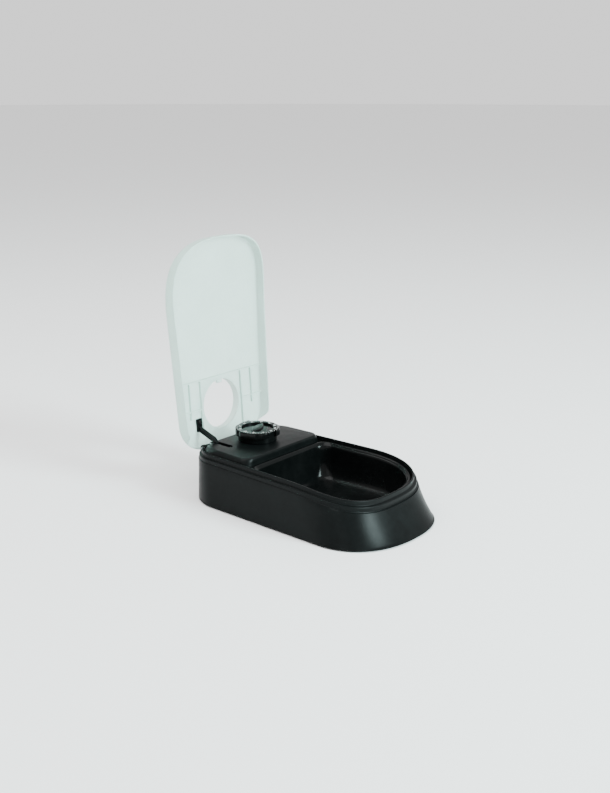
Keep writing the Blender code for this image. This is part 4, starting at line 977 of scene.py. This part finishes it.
# ---------------------------------------------------------------- lid arms
# Two black hooked arms carry the lid. Each is a flat moulding with soft edges, an eye for the
# axle at one end and a pad at the other, riveted to the inside of the lid.
BENDS = {"left": ((-5.0, 0.4), (-9.0, 1.4), (-11.6, 3.6), (-12.0, 6.8), (-9.8, 9.6)),
         "right": ((-5.0, 0.4), (-8.4, 1.6), (-9.8, 4.0), (-8.4, 6.8), (-5.0, 7.6))}
for side, name, foot_v, lean in ((-1, "left", -18.5, -1.5), (1, "right", -31.0, 1.2)):
    foot = lid_place @ Vector((0.0, foot_v, 1.4))
    foot_low = lid_place @ Vector((0.0, foot_v + lean, 3.4))
    path = [(PIVOT.y, PIVOT.z)] + [(PIVOT.y + dy, PIVOT.z + dz) for dy, dz in BENDS[name]]
    path += [(foot_low.y, foot_low.z), (foot.y, foot.z)]
    path = [Vector(p) for p in path]
    upper, lower = [], []
    for i, point in enumerate(path):
        along = (path[min(len(path) - 1, i + 1)] - path[max(0, i - 1)]).normalized()
        across = Vector((-along.y, along.x))
        upper.append(point + across * 2.2)
        lower.append(point - across * 2.2)
    arm_outline = upper + list(reversed(lower))
    x = side * ARM_X
    rivet_u, rivet_v = RIVET_AT[name]
    solid = bmesh.new()
    skin(solid, [[Vector((x + dx, p.x, p.y)) for p in arm_outline] for dx in (-1.9, 1.9)],
         cap_first=True, cap_last=True)
    arm = finish_mesh("hinge_arm_" + name, solid, 30.0)
    steps = [("UNION", rod((0, PIVOT.y, PIVOT.z), 2.7, x - 1.9, x + 1.9, 48, "X"))]
    pad = block((min(x, rivet_u) - 3.3, foot_v - 3.5, 0.3), (x + 3.3, rivet_v + 3.4, 2.3))
    steps.append(("UNION", in_lid(pad)))
    steps.append(("DIFFERENCE", in_lid(rod((rivet_u, rivet_v, 0), 1.4, -4.0, 9.0))))
    steps.append(("DIFFERENCE", rod((0, PIVOT.y, PIVOT.z), BORE_R, x - 3, x + 3, 32, "X")))
    shaped(arm, steps, 30.0)
    soft = arm.modifiers.new("soft_edges", "BEVEL")
    soft.width = 0.0003
    soft.segments = 2
    soft.limit_method = "ANGLE"
    soft.angle_limit = math.radians(50)
    soft.harden_normals = False
    arm.data.materials.append(satin_black)
    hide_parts("lid_arm_" + name)
    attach(arm, "lid_body")

# ---------------------------------------------------------------- rivets, axle and springs
# The lid is fixed to its arms by two blackened steel rivets. The arms turn on one plain
# steel pin, and a coil of spring wire beside each arm pushes the lid open.
blackened = metal("blackened_steel", (0.012, 0.012, 0.012), (0.02, 0.02, 0.02), 0.5,
                  (1.0, 1.0, 1.0))
for side, name in ((-1, "left"), (1, "right")):
    profile = rounded_edge((0.9, -3.3), (2.6, -2.4), (2.4, -3.3), 5)
    profile += [(2.6, -2.2), (1.1, -2.1), (1.1, 2.6), (2.3, 2.7)]
    profile += rounded_edge((2.3, 2.9), (1.5, 3.5), (2.3, 3.5), 4)
    solid = turned_piece(profile, 40)
    bmesh.ops.translate(solid, vec=(*RIVET_AT[name], 0), verts=solid.verts)
    rivet = finish_mesh("rivet_" + name, in_lid(solid))
    rivet.data.materials.append(blackened)
    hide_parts("lid_rivet_" + name)
    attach(rivet, "lid_body")

profile = rounded_edge((0.9, -42.9), (1.5, -42.3), (1.5, -42.9), 4)
profile += rounded_edge((1.5, 42.3), (0.9, 42.9), (1.5, 42.9), 4)
solid = turned_piece(profile, 32)
bmesh.ops.rotate(solid, cent=(0, 0, 0), matrix=Matrix.Rotation(math.pi / 2, 3, "Y"),
                 verts=solid.verts)
bmesh.ops.translate(solid, vec=(0, PIVOT.y, PIVOT.z), verts=solid.verts)
axle = finish_mesh("hinge_pin", solid)
axle.data.materials.append(zinc)
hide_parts("hinge_axle")
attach(axle, "base")

spring_steel = metal("spring_steel", (0.42, 0.43, 0.45), (0.58, 0.59, 0.60), 0.25,
                     (1.0, 1.0, 1.0))
for side, name in ((-1, "left"), (1, "right")):
    points = []
    for k in range(91):
        angle = math.radians(250) + 6 * math.pi * k / 90
        points.append(Vector((side * (29.8 + 2.6 * k / 90), PIVOT.y + 2.35 * math.cos(angle),
                              PIVOT.z + 2.35 * math.sin(angle))))
    points.insert(0, points[0] + Vector((0, 0.3, -6.0)))
    points.append(points[-1] + Vector((0, -7.0, 1.6)))
    wire = bpy.data.curves.new("wire", "CURVE")
    wire.dimensions = "3D"
    wire.bevel_depth = 0.35 * MM
    wire.bevel_resolution = 3
    wire.use_fill_caps = True
    spline = wire.splines.new("POLY")
    spline.points.add(len(points) - 1)
    for spot, point in zip(spline.points, points):
        spot.co = (*((point + CENTRED) * MM), 1.0)
    coil = bpy.data.objects.new("wire", wire)
    bpy.context.scene.collection.objects.link(coil)
    bpy.context.view_layer.update()
    mesh = bpy.data.meshes.new_from_object(
        coil.evaluated_get(bpy.context.evaluated_depsgraph_get()))
    bpy.data.objects.remove(coil, do_unlink=True)
    for poly in mesh.polygons:
        poly.use_smooth = True
    mesh.materials.clear()
    mesh.materials.append(spring_steel)
    spring = bpy.data.objects.new("coil_spring_" + name, mesh)
    bpy.context.scene.collection.objects.link(spring)
    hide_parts("torsion_spring_" + name)
    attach(spring, "base")

# ---------------------------------------------------------------- battery door
# A flat black door closes the battery room from below. It has a finger recess, soft edges and
# two saddles inside that hold the cell up against its contacts.
door = finish_mesh("battery_door_moulding", block((-32.2, 54.4, 2.5), (32.2, 77.6, 3.6), 0.3))
steps = []
for x in (-16.0, 16.0):
    steps.append(("UNION", block((x - 1.0, 58.0, 3.0), (x + 1.0, 74.0, 5.0))))
steps.append(("DIFFERENCE", block((-9.0, 72.5, 1.0), (9.0, 74.5, 3.0))))
for k in range(5):
    steps.append(("DIFFERENCE", block((-9.0 + 0.8 * k, 69.0 - 1.4 * k, 2.2),
                                      (9.0 - 0.8 * k, 69.5 - 1.4 * k, 2.75))))
shaped(door, steps)
door.data.materials.append(satin_black)
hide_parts("battery_door")
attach(door, "door")

# ---------------------------------------------------------------- timer works
# Under the platform a grey two-part case holds the movement: a rotor, a middle wheel and the
# dial's wheel in white nylon, a brass shaft, a wound coil and a small circuit board.


def repaint(mat, *names):
    for name in names:
        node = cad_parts[name]
        node.data.materials.clear()
        node.data.materials.append(mat)


repaint(plastic("grey_case_moulding", (0.20, 0.21, 0.22), (0.27, 0.28, 0.29), 0.48, 0.06, 1500.0,
                0.00002), "timer_case", "timer_case_lid")
repaint(plastic("white_nylon", (0.66, 0.65, 0.61), (0.76, 0.75, 0.71), 0.45, 0.06, 1800.0,
                0.00001), "dial_wheel", "middle_wheel", "motor_rotor")
repaint(metal("turned_brass", (0.62, 0.44, 0.18), (0.80, 0.62, 0.30), 0.28, (1.0, 1.0, 14.0)),
        "dial_shaft")
repaint(metal("wound_copper", (0.52, 0.20, 0.09), (0.80, 0.40, 0.22), 0.32, (1.0, 22.0, 1.0)),
        "motor_coil")
repaint(plastic("green_board", (0.015, 0.10, 0.045), (0.03, 0.17, 0.08), 0.4, 0.05, 700.0,
                0.00003), "circuit_board")
repaint(zinc, "case_screw_1", "case_screw_2")

# ---------------------------------------------------------------- battery and contacts
# One standard cell lies across the base in a thin printed sleeve with no words on it. A folded
# strip of spring steel bears on each of its ends.
sleeve = bpy.data.materials.new("cell_sleeve")
sleeve.use_nodes = True
nodes, links = sleeve.node_tree.nodes, sleeve.node_tree.links
surface = nodes["Principled BSDF"]
place = nodes.new("ShaderNodeTexCoord")
parts = nodes.new("ShaderNodeSeparateXYZ")
links.new(place.outputs["Object"], parts.inputs["Vector"])
bands = nodes.new("ShaderNodeValToRGB")
bands.color_ramp.interpolation = "CONSTANT"
bands.color_ramp.elements[0].color = (0.6, 0.6, 0.62, 1.0)
bands.color_ramp.elements[1].position = 0.03
bands.color_ramp.elements[1].color = (0.03, 0.035, 0.05, 1.0)
for position, colour in ((0.72, (0.55, 0.28, 0.06, 1.0)), (0.97, (0.6, 0.6, 0.62, 1.0))):
    element = bands.color_ramp.elements.new(position)
    element.color = colour
span = nodes.new("ShaderNodeMapRange")
span.inputs["From Min"].default_value = -0.0243
span.inputs["From Max"].default_value = 0.0249
links.new(parts.outputs["X"], span.inputs["Value"])
links.new(span.outputs["Result"], bands.inputs["Fac"])
links.new(bands.outputs["Color"], surface.inputs["Base Color"])
surface.inputs["Metallic"].default_value = 0.4
wrinkle = nodes.new("ShaderNodeTexNoise")
wrinkle.inputs["Scale"].default_value = 350.0
spread = nodes.new("ShaderNodeMapRange")
spread.inputs["To Min"].default_value = 0.22
spread.inputs["To Max"].default_value = 0.42
links.new(place.outputs["Object"], wrinkle.inputs["Vector"])
links.new(wrinkle.outputs["Fac"], spread.inputs["Value"])
links.new(spread.outputs["Result"], surface.inputs["Roughness"])
repaint(sleeve, "battery")
repaint(spring_steel, "contact_minus", "contact_plus")
